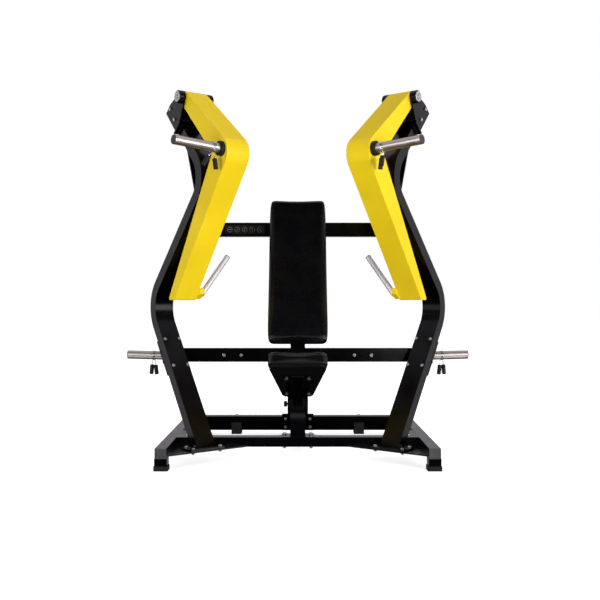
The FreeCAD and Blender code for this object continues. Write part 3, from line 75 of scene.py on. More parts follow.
# ---------------------------------------------------------------- material helpers

class Material:
    """A node material with short ways to add noise, bump and ramps to its Principled shader."""

    def __init__(self, name, colour, roughness, metallic=0.0):
        self.data = bpy.data.materials.new(name)
        self.data.use_nodes = True
        self.tree = self.data.node_tree
        self.shader = self.tree.nodes["Principled BSDF"]
        self.colour = colour
        self.value("Base Color", (*colour, 1))
        self.value("Roughness", roughness)
        self.value("Metallic", metallic)
        self.place = self.add("ShaderNodeTexCoord").outputs["Object"]

    def add(self, kind, **settings):
        node = self.tree.nodes.new(kind)
        for key, setting in settings.items():
            setattr(node, key, setting)
        return node

    def link(self, source, target):
        self.tree.links.new(source, target)

    def value(self, socket, setting):
        self.shader.inputs[socket].default_value = setting

    def noise(self, scale, detail=3.0, rough=0.5, place=None, distortion=0.0):
        node = self.add("ShaderNodeTexNoise")
        node.inputs["Scale"].default_value = scale
        node.inputs["Detail"].default_value = detail
        node.inputs["Roughness"].default_value = rough
        node.inputs["Distortion"].default_value = distortion
        self.link(place or self.place, node.inputs["Vector"])
        return node.outputs["Fac"]

    def cells(self, scale, feature="F1", place=None):
        node = self.add("ShaderNodeTexVoronoi", feature=feature)
        node.inputs["Scale"].default_value = scale
        self.link(place or self.place, node.inputs["Vector"])
        return node.outputs["Distance"]

    def span(self, source, low, high, from_low=0.3, from_high=0.7):
        """Map a pattern to a range of values."""
        node = self.add("ShaderNodeMapRange")
        settings = {"From Min": from_low, "From Max": from_high, "To Min": low, "To Max": high}
        for socket, setting in settings.items():
            node.inputs[socket].default_value = setting
        self.link(source, node.inputs["Value"])
        return node.outputs["Result"]

    def maths(self, operation, first, second):
        node = self.add("ShaderNodeMath", operation=operation)
        for socket, item in zip(node.inputs, (first, second)):
            if isinstance(item, (int, float)):
                socket.default_value = item
            else:
                self.link(item, socket)
        return node.outputs["Value"]

    def along(self, axis, stretch):
        """Place squeezed across one axis, so that a noise in it runs as rings about that axis."""
        dot = self.add("ShaderNodeVectorMath", operation="DOT_PRODUCT")
        dot.inputs[1].default_value = axis
        self.link(self.place, dot.inputs[0])
        scaled = self.maths("MULTIPLY", dot.outputs["Value"], stretch)
        combine = self.add("ShaderNodeCombineXYZ")
        self.link(scaled, combine.inputs["X"])
        mix = self.add("ShaderNodeVectorMath", operation="ADD")
        self.link(combine.outputs["Vector"], mix.inputs[0])
        self.link(self.place, mix.inputs[1])
        return mix.outputs["Vector"]

    def tint(self, pattern, dark, light, from_low=0.3, from_high=0.7):
        """Vary the base colour between two shares of itself."""
        node = self.add("ShaderNodeMix", data_type="RGBA")
        factor = self.span(pattern, 0, 1, from_low, from_high)
        self.link(factor, node.inputs["Factor"])
        node.inputs["A"].default_value = (*[channel * dark for channel in self.colour], 1)
        node.inputs["B"].default_value = (*[min(1, channel * light) for channel in self.colour], 1)
        self.link(node.outputs["Result"], self.shader.inputs["Base Color"])
        return node.outputs["Result"]

    def roughness(self, pattern, low, high):
        self.link(self.span(pattern, low, high), self.shader.inputs["Roughness"])

    def bump(self, layers):
        """Chain of bumps; each layer is a pattern, a strength and a depth in metres."""
        last = None
        for pattern, strength, depth in layers:
            node = self.add("ShaderNodeBump")
            node.inputs["Strength"].default_value = strength
            node.inputs["Distance"].default_value = depth
            self.link(pattern, node.inputs["Height"])
            if last:
                self.link(last, node.inputs["Normal"])
            last = node.outputs["Normal"]
        self.link(last, self.shader.inputs["Normal"])


def paint(name, colour, rough, coat, shine=0.5):
    """Baked gloss paint: orange peel, a little haze from handling and a faint unevenness of tone."""
    made = Material(name, colour, rough)
    haze = made.noise(7.0, 4.0)
    made.roughness(haze, rough * 0.8, rough * 1.35)
    made.tint(made.noise(3.0, 2.0), 0.94, 1.05)
    made.bump(((made.noise(420.0, 2.0), 0.12, 0.0004), (made.noise(38.0, 2.0), 0.06, 0.001)))
    made.value("Specular IOR Level", shine)
    made.value("Coat Weight", coat)
    made.value("Coat Roughness", 0.06)
    return made.data


def tube_metal(name, colour, rough, axis, metallic=1.0):
    """Polished tube with fine turning marks about its axis and faint smudges."""
    made = Material(name, colour, rough, metallic)
    rings = made.noise(900.0, 2.0, place=made.along(axis, 6.0))
    smudge = made.noise(24.0, 4.0)
    made.roughness(smudge, rough * 0.92, rough * 1.12)
    made.tint(smudge, 0.95, 1.04)
    made.bump(((rings, 0.02, 0.0001),))
    made.value("Specular Tint", (0.12, 0.12, 0.13, 1))
    return made.data


def cast_metal(name, colour, rough, grain=500.0):
    """Plated or machined steel with a slight spangle."""
    made = Material(name, colour, rough, metallic=1.0)
    made.tint(made.cells(grain), 0.75, 1.08, 0.0, 0.9)
    made.roughness(made.noise(160.0, 3.0), rough * 0.75, rough * 1.35)
    made.bump(((made.noise(900.0, 2.0), 0.1, 0.0002),))
    return made.data


def moulded(name, colour, rough, scale, depth):
    """Rubber or plastic with a fine eroded texture."""
    made = Material(name, colour, rough)
    made.roughness(made.noise(14.0, 4.0), rough * 0.88, min(1.0, rough * 1.12))
    made.tint(made.noise(9.0, 5.0), 0.75, 1.35)
    made.value("Specular IOR Level", 0.2)
    made.bump(((made.noise(scale, 4.0, 0.6), 0.5, depth), (made.noise(60.0, 2.0), 0.1, depth * 3)))
    return made.data


def leather(name, colour, rough):
    """Artificial leather: pebbled grain, finer pores between the pebbles and soft stretch creases."""
    made = Material(name, colour, rough)
    warp = made.add("ShaderNodeVectorMath", operation="ADD")
    shift = made.add("ShaderNodeTexNoise")
    shift.inputs["Scale"].default_value = 190.0
    made.link(made.place, shift.inputs["Vector"])
    small = made.add("ShaderNodeVectorMath", operation="SCALE")
    small.inputs["Scale"].default_value = 0.0012
    made.link(shift.outputs["Color"], small.inputs[0])
    made.link(made.place, warp.inputs[0])
    made.link(small.outputs["Vector"], warp.inputs[1])
    pebble = made.cells(560.0, "SMOOTH_F1", warp.outputs["Vector"])
    made.roughness(made.noise(11.0, 4.0), rough * 0.85, rough * 1.2)
    made.tint(made.noise(5.0, 3.0), 0.8, 1.25)
    made.bump(((made.noise(16.0, 2.0), 0.1, 0.002), (pebble, 0.45, 0.0006),
               (made.noise(2200.0, 2.0), 0.15, 0.0001)))
    made.value("Specular IOR Level", 0.28)
    return made.data


def plywood(name, colour, rough):
    """Black-stained plywood: thin layers show on the edges, long grain on the faces."""
    made = Material(name, colour, rough)
    grain = made.noise(60.0, 5.0, 0.6, place=made.along((1, 0, 0), -0.9))
    made.tint(grain, 0.6, 1.5)
    made.roughness(grain, rough * 0.9, min(1.0, rough * 1.15))
    made.bump(((grain, 0.3, 0.0006),))
    made.value("Specular IOR Level", 0.12)
    return made.data


black_paint = paint("black_paint", (0.0012, 0.0010, 0.0015), 0.16, 0.0, 0.16)
yellow_paint = paint("yellow_paint", (0.84, 0.615, 0.012), 0.42, 0.0, 0.12)
bright_steel = cast_metal("bright_steel", (0.62, 0.61, 0.60), 0.22)
zinc = cast_metal("zinc", (0.5, 0.49, 0.48), 0.3, 700.0)
cover_silver = cast_metal("cover_silver", (0.5, 0.49, 0.52), 0.42, 900.0)
spring_steel = cast_metal("spring_steel", (0.66, 0.66, 0.68), 0.24)
rubber = moulded("rubber", (0.007, 0.0065, 0.007), 0.62, 1500.0, 0.0003)
plastic = moulded("plastic", (0.012, 0.011, 0.012), 0.42, 1900.0, 0.0002)
cap_plastic = moulded("cap_plastic", (0.05, 0.047, 0.05), 0.5, 1300.0, 0.0003)
vinyl = leather("vinyl", (0.0009, 0.0008, 0.0013), 0.27)
board_stain = plywood("board_stain", (0.0022, 0.002, 0.002), 0.6)
thread = moulded("thread", (0.009, 0.0085, 0.0095), 0.8, 3000.0, 0.0002)
label_print = moulded("label_print", (0.32, 0.31, 0.32), 0.5, 1200.0, 0.0001)
label_ground = moulded("label_ground", (0.012, 0.011, 0.013), 0.3, 1200.0, 0.0001)


def node_material(name):
    """The finish of a CAD node, by the words of its name."""
    words = (("shoe", rubber), ("pad", rubber), ("buffer", rubber), ("collar", rubber),
             ("board", board_stain), ("arm_shell", yellow_paint), ("arm_back_plate", yellow_paint),
             ("bolts", zinc), ("covers", cover_silver), ("caps", cap_plastic), ("liner", plastic),
             ("pull_pin", plastic), ("bearings", bright_steel), ("shaft", bright_steel),
             ("hub", bright_steel), ("cushion", vinyl), ("clip", spring_steel))
    for word, material in words:
        if word in name:
            return material
    return black_paint


def end_centre(node, axis):
    """Centre of a straight round node's far end, along an axis."""
    points = [vertex.co for vertex in NODES[node].data.vertices]
    far = max(point.dot(axis) for point in points)
    ring = [point for point in points if point.dot(axis) > far - MM]
    return sum(ring, Vector()) / len(ring)


for node, thing in NODES.items():
    thing.data.materials.clear()
    thing.data.materials.append(node_material(node))
STEEL = (0.50, 0.455, 0.42)
STEEL_ROUGH = 0.42
SATIN = (0.74, 0.71, 0.74)
SATIN_ROUGH = 0.6
SATIN_METALLIC = 0.55
for side in SIDES:
    horn_axis = Vector(JOINTS[side + "_horn_clip_slide"]["axis"])
    peg_axis = Vector(JOINTS[side + "_peg_clip_slide"]["axis"])
    finishes = {"_weight_horn": tube_metal(side + "_horn_steel", STEEL, STEEL_ROUGH, horn_axis),
                "_storage_peg": tube_metal(side + "_peg_steel", STEEL, STEEL_ROUGH, peg_axis),
                "_handle": tube_metal(side + "_handle_metal", SATIN, SATIN_ROUGH, (0, 0, 1), SATIN_METALLIC)}
    for tail, finish in finishes.items():
        NODES[side + tail].data.materials[0] = finish


# ---------------------------------------------------------------- softened edges on the steel

def smoothing_group(angle):
    """Geometry nodes that drop the imported normals and shade smooth below an edge angle."""
    group = bpy.data.node_groups.new("smooth_by_angle", "GeometryNodeTree")
    group.interface.new_socket("Geometry", in_out="INPUT", socket_type="NodeSocketGeometry")
    group.interface.new_socket("Geometry", in_out="OUTPUT", socket_type="NodeSocketGeometry")
    kinds = ("NodeGroupInput", "GeometryNodeRemoveAttribute", "GeometryNodeSetShadeSmooth",
             "GeometryNodeSetShadeSmooth", "GeometryNodeInputMeshEdgeAngle", "FunctionNodeCompare",
             "NodeGroupOutput")
    start, drop, faces, edges, corner, compare, end = [group.nodes.new(kind) for kind in kinds]
    drop.inputs["Name"].default_value = "custom_normal"
    faces.domain = "FACE"
    edges.domain = "EDGE"
    compare.operation = "LESS_THAN"
    compare.inputs["B"].default_value = angle
    wires = ((start.outputs[0], drop.inputs[0]), (drop.outputs[0], faces.inputs[0]),
             (faces.outputs[0], edges.inputs[0]), (corner.outputs[0], compare.inputs["A"]),
             (compare.outputs["Result"], edges.inputs["Shade Smooth"]), (edges.outputs[0], end.inputs[0]))
    for source, target in wires:
        group.links.new(source, target)
    return group


smooth_group = smoothing_group(math.radians(32))


def soften(thing, width, segments=2):
    """Round a CAD node's sharp edges; its mesh itself stays as it is."""
    weld = thing.modifiers.new("weld", "WELD")
    weld.merge_threshold = 0.00002
    flat = thing.modifiers.new("flat", "DECIMATE")
    flat.decimate_type = "DISSOLVE"
    flat.angle_limit = math.radians(0.4)
    rounding = thing.modifiers.new("rounding", "BEVEL")
    rounding.width = width
    rounding.segments = segments
    rounding.limit_method = "ANGLE"
    rounding.angle_limit = math.radians(38)
    rounding.harden_normals = False
    rounding.miter_outer = "MITER_ARC"
    smooth = thing.modifiers.new("smooth", "NODES")
    smooth.node_group = smooth_group
    level = thing.modifiers.new("level", "WEIGHTED_NORMAL")
    level.keep_sharp = True
    level.weight = 100


EDGE_ROUND = {"arm_shell": 2.2, "upright": 2.5, "side_rail": 2.5, "front_rail": 2.5, "rear_bar": 2.5,
              "spine_beam": 2.5, "crossbar": 2.5, "column": 2.5, "pivot_bracket": 1.5, "corner_plate": 1.5,
              "seat_sleeve": 1.5, "foot_shoe": 2.0, "rear_pad": 2.0, "bolts": 0.8, "board": 2.0,
              "arm_back_plate": 1.0, "housings": 1.0, "liner": 0.8, "caps": 1.0}
for node, thing in NODES.items():
    widths = [width for word, width in EDGE_ROUND.items() if word in node]
    soften(thing, (widths[0] if widths else 0.6) * MM)


# ---------------------------------------------------------------- new pieces

def new_piece(name, mesh, body, material):
    """A finished piece that rides on a body."""
    piece = bpy.data.objects.new(name, mesh)
    bpy.context.scene.collection.objects.link(piece)
    mesh.materials.clear()
    mesh.materials.append(material)
    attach(piece, body)
    return piece


def shade_smooth(mesh):
    for face in mesh.polygons:
        face.use_smooth = True


def frame_along(path, index):
    """Two directions across a path at one of its points."""
    ahead = path[min(index + 1, len(path) - 1)] - path[max(index - 1, 0)]
    ahead.normalize()
    helper = Vector((0, 0, 1)) if abs(ahead.z) < 0.9 else Vector((1, 0, 0))
    across = ahead.cross(helper).normalized()
    return across, ahead.cross(across).normalized()


def add_tube(form, path, radii, sides=8):
    """Add a closed round tube along a path to a bmesh; radii has one number for each point."""
    rings = []
    last_across = None
    for index, point in enumerate(path):
        across, up = frame_along(path, index)
        if last_across is not None:
            ahead = across.cross(up).normalized()
            across = (last_across - ahead * last_across.dot(ahead)).normalized()
            up = ahead.cross(across).normalized()
        last_across = across
        ring = []
        for step in range(sides):
            angle = math.tau * step / sides
            spoke = across * math.cos(angle) + up * math.sin(angle)
            ring.append(form.verts.new(point + spoke * radii[index]))
        rings.append(ring)
    for first, second in zip(rings, rings[1:]):
        for step in range(sides):
            follow = (step + 1) % sides
            form.faces.new((first[step], first[follow], second[follow], second[step]))
    form.faces.new(rings[0][::-1])
    form.faces.new(rings[-1])


def add_turned(form, place, profile, sides=32):
    """Add a closed turned shape: profile is (radius, length) pairs along the place's Z."""
    rings = []
    for radius, length in profile:
        if radius < 1e-6:
            rings.append([form.verts.new(place @ Vector((0, 0, length)))])
            continue
        rings.append([form.verts.new(place @ Vector((radius * math.cos(math.tau * step / sides),
                                                     radius * math.sin(math.tau * step / sides), length)))
                      for step in range(sides)])
    for first, second in zip(rings, rings[1:]):
        for step in range(sides):
            follow = (step + 1) % sides
            corners = [first[step % len(first)], first[follow % len(first)],
                       second[follow % len(second)], second[step % len(second)]]
            distinct = list(dict.fromkeys(corners))
            if len(distinct) > 2:
                form.faces.new(distinct)


def finish_form(form, name):
    bmesh.ops.recalc_face_normals(form, faces=form.faces)
    mesh = bpy.data.meshes.new(name)
    form.to_mesh(mesh)
    form.free()
    return mesh


def facing(point, along, hint=Vector((0, 0, 1))):
    """Placement at a point with Z along a direction."""
    z = Vector(along).normalized()
    if abs(z.dot(hint)) > 0.95:
        hint = Vector((1, 0, 0))
    x = hint.cross(z).normalized()
    y = z.cross(x)
    turn = Matrix((x, y, z)).transposed().to_4x4()
    return Matrix.Translation(point) @ turn


# ---------------------------------------------------------------- weld beads

WELD_RADIUS = 2.6 * MM
WELD_RIPPLE = 4.2 * MM
WELD_STEP = 1.4 * MM
OPEN_REACH = 0.22


def concave_edges(thing):
    """Sharp inner corners of a node that can be reached from outside, as pairs of points."""
    form = bmesh.new()
    form.from_mesh(thing.data)
    bmesh.ops.remove_doubles(form, verts=form.verts, dist=0.00002)
    bmesh.ops.dissolve_limit(form, angle_limit=math.radians(0.4), verts=form.verts, edges=form.edges)
    tree = BVHTree.FromBMesh(form)
    found = []
    for edge in form.edges:
        if len(edge.link_faces) != 2 or edge.calc_length() < 12 * MM:
            continue
        if edge.calc_face_angle_signed() > -math.radians(50):
            continue
        bisector = (edge.link_faces[0].normal + edge.link_faces[1].normal).normalized()
        middle = (edge.verts[0].co + edge.verts[1].co) / 2
        hit = tree.ray_cast(middle + bisector * 2 * MM, bisector, OPEN_REACH)
        if hit[0] is None:
            found.append((edge.verts[0].co.copy(), edge.verts[1].co.copy()))
    form.free()
    return found


def weld_beads(node, material):
    """Rippled weld beads along a node's inner corners."""
    edges = concave_edges(NODES[node])
    if not edges:
        return
    form = bmesh.new()
    for start, end in edges:
        length = (end - start).length
        count = max(4, int(length / WELD_STEP))
        path = [start.lerp(end, step / count) for step in range(count + 1)]
        radii = [WELD_RADIUS * (1 + 0.14 * math.sin(math.tau * step * length / count / WELD_RIPPLE))
                 for step in range(count + 1)]
        add_tube(form, path, radii, sides=8)
    mesh = finish_form(form, node + "_welds")
    shade_smooth(mesh)
    new_piece(node + "_welds", mesh, BODY_OF[node], material)


WELDED = ["spine_beam", "mid_crossbar", "upper_crossbar", "column", "seat_sleeve"]
WELDED += [side + tail for side in SIDES for tail in ("_side_rail", "_upright", "_pivot_bracket")]
for node in WELDED:
    weld_beads(node, black_paint)
for side in SIDES:
    weld_beads(side + "_arm_shell", yellow_paint)


# ---------------------------------------------------------------- spring collars

WIRE = 1.7 * MM
COIL_TURNS = 3.0
GRIP_LONG = 58 * MM
GRIP_RADIUS = 12.5 * MM
GRIP_OVERLAP = 8 * MM
TAIL_LONG = 34 * MM
TAIL_SPREAD = 4 * MM
HEAD_RISE = 4 * MM
BAR_RADIUS = 25 * MM
COIL_GAP = 0.4 * MM
COIL_END = 3 * MM
RING_REACH = 32 * MM


def grip_profile(radius, length):
    """Moulded grip with shallow rings."""
    profile = [(0, 0), (radius * 0.72, 0), (radius * 0.93, 1.6 * MM), (radius, 5 * MM)]
    rings = 6
    for index in range(rings):
        start = 9 * MM + index * (length - 18 * MM) / rings
        profile += [(radius, start), (radius - 0.9 * MM, start + 1.2 * MM),
                    (radius - 0.9 * MM, start + 2.6 * MM), (radius, start + 3.8 * MM)]
    profile += [(radius, length - 5 * MM), (radius * 0.9, length - 1.5 * MM), (radius * 0.7, length),
                (0, length)]
    return profile


def spring_collar(name, bar, joint, hangs, body):
    """Wire collar wound about a bar, with both ends bent out into grips."""
    axis = Vector(JOINTS[joint]["axis"]).normalized()
    centre = end_centre(bar, axis)
    spots = [vertex.co for vertex in NODES[name].data.vertices]
    near = [point for point in spots
            if (point - centre - axis * (point - centre).dot(axis)).length < RING_REACH]
    low = min((point - centre).dot(axis) for point in near)
    high = max((point - centre).dot(axis) for point in near)
    reach = BAR_RADIUS + COIL_GAP + WIRE
    spans = (low + WIRE + COIL_END, high - WIRE - COIL_END)
    flat = [(hang - axis * hang.dot(axis)).normalized() for hang in hangs]
    side = axis.cross(flat[0]).normalized()
    path = []
    steps = int(COIL_TURNS * 40)
    last = math.atan2(flat[1].dot(side), flat[1].dot(flat[0]))
    total = math.tau * COIL_TURNS + last
    for step in range(steps + 1):
        share = step / steps
        angle = total * share
        spoke = flat[0] * math.cos(angle) + side * math.sin(angle)
        path.append(centre + axis * (spans[0] + (spans[1] - spans[0]) * share) + spoke * reach)
    heads = [path[0] + flat[0] * HEAD_RISE, path[-1] + flat[1] * HEAD_RISE]
    tips = [heads[0] + hangs[0].normalized() * TAIL_LONG - axis * TAIL_SPREAD,
            heads[1] + hangs[1].normalized() * TAIL_LONG + axis * TAIL_SPREAD]
    whole = [tips[0], heads[0]] + path[1:-1] + [heads[1], tips[1]]
    form = bmesh.new()
    add_tube(form, whole, [WIRE] * len(whole), sides=10)
    wire_mesh = finish_form(form, name + "_wire")
    shade_smooth(wire_mesh)
    wire = new_piece(name + "_wire", wire_mesh, body, spring_steel)
    form = bmesh.new()
    for tip, head in zip(tips, heads):
        down = (tip - head).normalized()
        add_turned(form, facing(tip - down * GRIP_OVERLAP, down), grip_profile(GRIP_RADIUS, GRIP_LONG))
    grip_mesh = finish_form(form, name + "_grips")
    shade_smooth(grip_mesh)
    new_piece(name + "_grips", grip_mesh, body, plastic)
    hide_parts(name)


for side, hand in (("left", 1), ("right", -1)):
    outward = Vector(JOINTS[side + "_horn_clip_slide"]["axis"])
    outward.z = 0
    down = Vector((0, 0, -1))
    ahead = Vector((0, 0, 1)).cross(outward).normalized() * hand
    splay = {"left": (down - outward * 0.05, down + outward * 0.6), "right": (down, down + ahead * 0.45)}
    spring_collar(side + "_horn_clip", side + "_weight_horn", side + "_horn_clip_slide",
                  splay[side], side + "_horn_clip")
    spring_collar(side + "_peg_clip", side + "_storage_peg", side + "_peg_clip_slide",
                  (down, down + Vector((0, 0.12, 0))), side + "_peg_clip")


# ---------------------------------------------------------------- cushions

SIM_FRAMES = 20
PRESSURE = 2.2
SEAM_INSET = 3 * MM
SEAM_DEPTH = 15 * MM
GROOVE_DEPTH = 1.8 * MM
GROOVE_WIDTH = 2.6 * MM
STITCH_ROWS = ((9 * MM, 6 * MM), (2 * MM, 23 * MM))   # inset from the outline, depth below the face


def local_frame(node, up, out):
    """Placement of a cushion: X across it, Y along it, Z out of its face, origin at its lower face edge."""
    across = up.cross(out).normalized()
    points = [vertex.co for vertex in NODES[node].data.vertices]
    low = min(point.dot(up) for point in points)
    face = max(point.dot(out) for point in points)
    origin = up * low + out * face
    turn = Matrix((across, up, out)).transposed().to_4x4()
    return Matrix.Translation(origin) @ turn


def applied(piece):
    """The piece's mesh with its modifiers worked in."""
    graph = bpy.context.evaluated_depsgraph_get()
    mesh = bpy.data.meshes.new_from_object(piece.evaluated_get(graph))
    piece.modifiers.clear()
    piece.data = mesh
    return mesh


def puffed(node, place, voxel, cap, pressure):
    """Cushion blown up by cloth simulation from a copy of its solid."""
    name = node + "_cover"
    mesh = NODES[node].data.copy()
    piece = bpy.data.objects.new(name, mesh)
    bpy.context.scene.collection.objects.link(piece)
    inverse = place.inverted()
    local = [inverse @ vertex.co for vertex in mesh.vertices]
    back = min(point.z for point in local)
    # rounds each point by its trip through the cushion's frame, which the simulation's result depends on
    for vertex, point in zip(mesh.vertices, local):
        vertex.co = place @ point
    remesh = piece.modifiers.new("remesh", "REMESH")
    remesh.mode = "VOXEL"
    remesh.voxel_size = voxel
    mesh = applied(piece)
    start = [vertex.co.copy() for vertex in mesh.vertices]
    held = piece.vertex_groups.new(name="held")
    for index, point in enumerate(start):
        if (inverse @ point).z < back + voxel * 0.6:
            held.add([index], 1.0, "REPLACE")
    cloth = piece.modifiers.new("cloth", "CLOTH")
    cloth.settings.vertex_group_mass = "held"
    cloth.settings.quality = 4
    cloth.settings.mass = 0.35
    cloth.settings.tension_stiffness = 18
    cloth.settings.compression_stiffness = 18
    cloth.settings.shear_stiffness = 12
    cloth.settings.bending_stiffness = 2.0
    cloth.settings.use_pressure = True
    cloth.settings.uniform_pressure_force = pressure
    cloth.settings.effector_weights.gravity = 0
    cloth.collision_settings.use_collision = False
    cloth.point_cache.frame_end = SIM_FRAMES
    scene = bpy.context.scene
    for step in range(1, SIM_FRAMES + 1):
        scene.frame_set(step)
    mesh = applied(piece)
    scene.frame_set(1)
    for vertex, origin in zip(mesh.vertices, start):
        moved = vertex.co - origin
        if moved.length > cap:
            vertex.co = origin + moved.normalized() * cap
    relax = piece.modifiers.new("relax", "SMOOTH")
    relax.factor = 0.5
    relax.iterations = 8
    applied(piece)
    finer = piece.modifiers.new("finer", "SUBSURF")
    finer.levels = 1
    finer.render_levels = 1
    mesh = applied(piece)
    shade_smooth(mesh)
    mesh.materials.clear()
    mesh.materials.append(vinyl)
    return piece


def seam_line(widths, length, corners, inset, depth, step):
    """Points along a rounded, tapered outline at a depth below the cushion's face."""
    low, high = widths[0] / 2 - inset, widths[1] / 2 - inset
    outline = [(-low, inset), (low, inset), (high, length - inset), (-high, length - inset)]
    points = []
    count = len(outline)
    for index in range(count):
        corner = Vector(outline[index]).to_3d()
        before = (Vector(outline[index - 1]).to_3d() - corner).normalized()
        after = (Vector(outline[(index + 1) % count]).to_3d() - corner).normalized()
        half = before.angle(after) / 2
        radius = corners[index]
        trim = radius / math.tan(half)
        middle = corner + (before + after).normalized() * radius / math.sin(half)
        start = corner + before * trim - middle
        end = corner + after * trim - middle
        for turn in range(9):
            share = turn / 8
            points.append(middle + start.lerp(end, share).normalized() * radius)
    dense = []
    for index, point in enumerate(points):
        follow = points[(index + 1) % len(points)]
        parts = max(1, round((follow - point).length / step))
        dense += [point.lerp(follow, part / parts) for part in range(parts)]
    return [Vector((point.x, point.y, -depth)) for point in dense]


def even_spots(points, step):
    """Points spread evenly along a closed line."""
    spots = []
    left_over = 0.0
    for index, point in enumerate(points):
        follow = points[(index + 1) % len(points)]
        length = (follow - point).length
        place = left_over
        while place < length:
            spots.append((point.lerp(follow, place / length), (follow - point).normalized()))
            place += step
        left_over = place - length
    return spots


def surface_tree(mesh):
    """Search tree over a mesh's faces."""
    points = [vertex.co for vertex in mesh.vertices]
    return BVHTree.FromPolygons(points, [face.vertices for face in mesh.polygons])


def sew(piece, place, seam, groove, width):
    """Press a seam into a cushion."""
    mesh = piece.data
    tree = surface_tree(mesh)
    line = [tree.find_nearest(place @ point)[0] for point in seam]
    near = KDTree(len(line))
    for index, point in enumerate(line):
        near.insert(point, index)
    near.balance()
    normals = [vertex.normal.copy() for vertex in mesh.vertices]
    for vertex, normal in zip(mesh.vertices, normals):
        distance = near.find(vertex.co)[2]
        if distance < 3 * width:
            vertex.co -= normal * groove * math.exp(-(distance / width) ** 2)
    mesh.update()


def stitches(name, piece, place, line, body, pitch=6.5 * MM, length=4.2 * MM):
    """A row of short thread stitches lying on a cushion along a line."""
    tree = surface_tree(piece.data)
    form = bmesh.new()
    for spot, ahead in even_spots([place @ point for point in line], pitch):
        surface, normal, _, _ = tree.find_nearest(spot)
        ahead = (ahead - normal * ahead.dot(normal)).normalized()
        lifts = (-0.5, 0.25, 0.45, 0.25, -0.5)
        path = [surface + ahead * length * (part / 4 - 0.5) + normal * lift * MM
                for part, lift in enumerate(lifts)]
        add_tube(form, path, [0.45 * MM] * len(path), sides=6)
    row_mesh = finish_form(form, name)
    shade_smooth(row_mesh)
    return new_piece(name, row_mesh, body, thread)


lean_up = Vector((0, math.sin(BACK_LEAN), math.cos(BACK_LEAN)))
lean_out = Vector((0, -math.cos(BACK_LEAN), math.sin(BACK_LEAN)))
seat_up = Vector((0, -math.cos(SEAT_TILT), math.sin(SEAT_TILT)))
seat_out = Vector((0, math.sin(SEAT_TILT), math.cos(SEAT_TILT)))

CUSHIONS = (
    # node, body, along, out, corner radii in mm, voxel, furthest swelling
    ("backrest_cushion", "frame", lean_up, lean_out, (28, 28, 24, 24), 5 * MM, 6 * MM),
    ("seat_cushion", "seat", seat_up, seat_out, (30, 30, 42, 42), 5 * MM, 8 * MM),
)
for node, body, along, out, corners, voxel, cap in CUSHIONS:
    place = local_frame(node, along, out)
    cover = puffed(node, place, voxel, cap, PRESSURE)
    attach(cover, body)
    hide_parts(node)
    inverse = place.inverted()
    local = [inverse @ vertex.co for vertex in NODES[node].data.vertices]
    length = max(point.y for point in local)
    ends = [2 * max(abs(point.x) for point in local if abs(point.y - spot) < 60 * MM) for spot in (0, length)]
    radii = [corner * MM for corner in corners]
    seam = seam_line(ends, length, radii, SEAM_INSET, SEAM_DEPTH, 2 * MM)
    sew(cover, place, seam, GROOVE_DEPTH, GROOVE_WIDTH)
    for row, (row_inset, row_depth) in enumerate(STITCH_ROWS):
        line = seam_line(ends, length, radii, row_inset, row_depth, 4 * MM)
        stitches("%s_stitches_%d" % (node, row), cover, place, line, body)


# ---------------------------------------------------------------- plain label on the upper crossbar

def rounded_plate(form, place, wide, high, thick, radius, steps=6):
    """Add a flat plate with rounded corners, its face along the place's Z."""
    outline = []
    for corner, (sx, sy) in enumerate(((1, 1), (-1, 1), (-1, -1), (1, -1))):
        centre = Vector((sx * (wide / 2 - radius), sy * (high / 2 - radius), 0))
        for step in range(steps + 1):
            angle = math.pi / 2 * (corner + step / steps)
            outline.append(centre + Vector((math.cos(angle), math.sin(angle), 0)) * radius)
    back = [form.verts.new(place @ point) for point in outline]
    front = [form.verts.new(place @ (point + Vector((0, 0, thick)))) for point in outline]
    form.faces.new(back[::-1])
    form.faces.new(front)
    for index in range(len(outline)):
        follow = (index + 1) % len(outline)
        form.faces.new((back[index], back[follow], front[follow], front[index]))


bar_low, bar_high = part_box("upper_crossbar")
bar_mid = (bar_low.z + bar_high.z) / 2
BAR_DEEP = 60 * MM
LABEL_MIDDLE = -0.335
LABEL_WIDE = 0.25
LABEL_HIGH = 0.054
label_place = facing(Vector((LABEL_MIDDLE, bar_high.y - BAR_DEEP - 0.1 * MM, bar_mid)), (0, -1, 0))
form = bmesh.new()
rounded_plate(form, label_place, LABEL_WIDE, LABEL_HIGH, 0.8 * MM, 3 * MM)
new_piece("label_plate", finish_form(form, "label_plate"), "frame", label_ground)
form = bmesh.new()
PANELS = 5
for index in range(PANELS):
    x = (index - (PANELS - 1) / 2) * LABEL_WIDE / (PANELS + 0.3)
    spot = label_place @ Matrix.Translation((x, 0, 0.75 * MM))
    outer = LABEL_HIGH * 0.36
    # a plain ring with a bar through it stands for each pictogram
    for step in range(24):
        angle = math.tau * step / 24
        place = spot @ Matrix.Rotation(angle, 4, "Z") @ Matrix.Translation((outer * 0.8, 0, 0))
        rounded_plate(form, place, 1.6 * MM, outer * 0.8 * math.tau / 24 * 1.15, 0.4 * MM, 0.3 * MM, steps=1)
    bar = spot @ Matrix.Rotation(index * 0.6, 4, "Z")
    rounded_plate(form, bar, outer * 1.05, 2.4 * MM, 0.4 * MM, 1 * MM, steps=3)
new_piece("label_marks", finish_form(form, "label_marks"), "frame", label_print)


# ---------------------------------------------------------------- floor, light and camera

GLOW = 2.0
BAND_GLOW = 2.0
RIGHT_GLOW = 6.0
FRONT_GLOW = 1.6
FLOOR_GLOW = 0.12
# share of the glow met from the front (-1), through the side (0), to straight behind (1)
GLOW_STOPS = ((-1.0, 0.01), (-0.45, 0.015), (-0.2, 0.15), (0.15, 0.45), (0.4, 0.55), (0.56, 0.06),
              (0.92, 0.06), (0.975, 0.22))


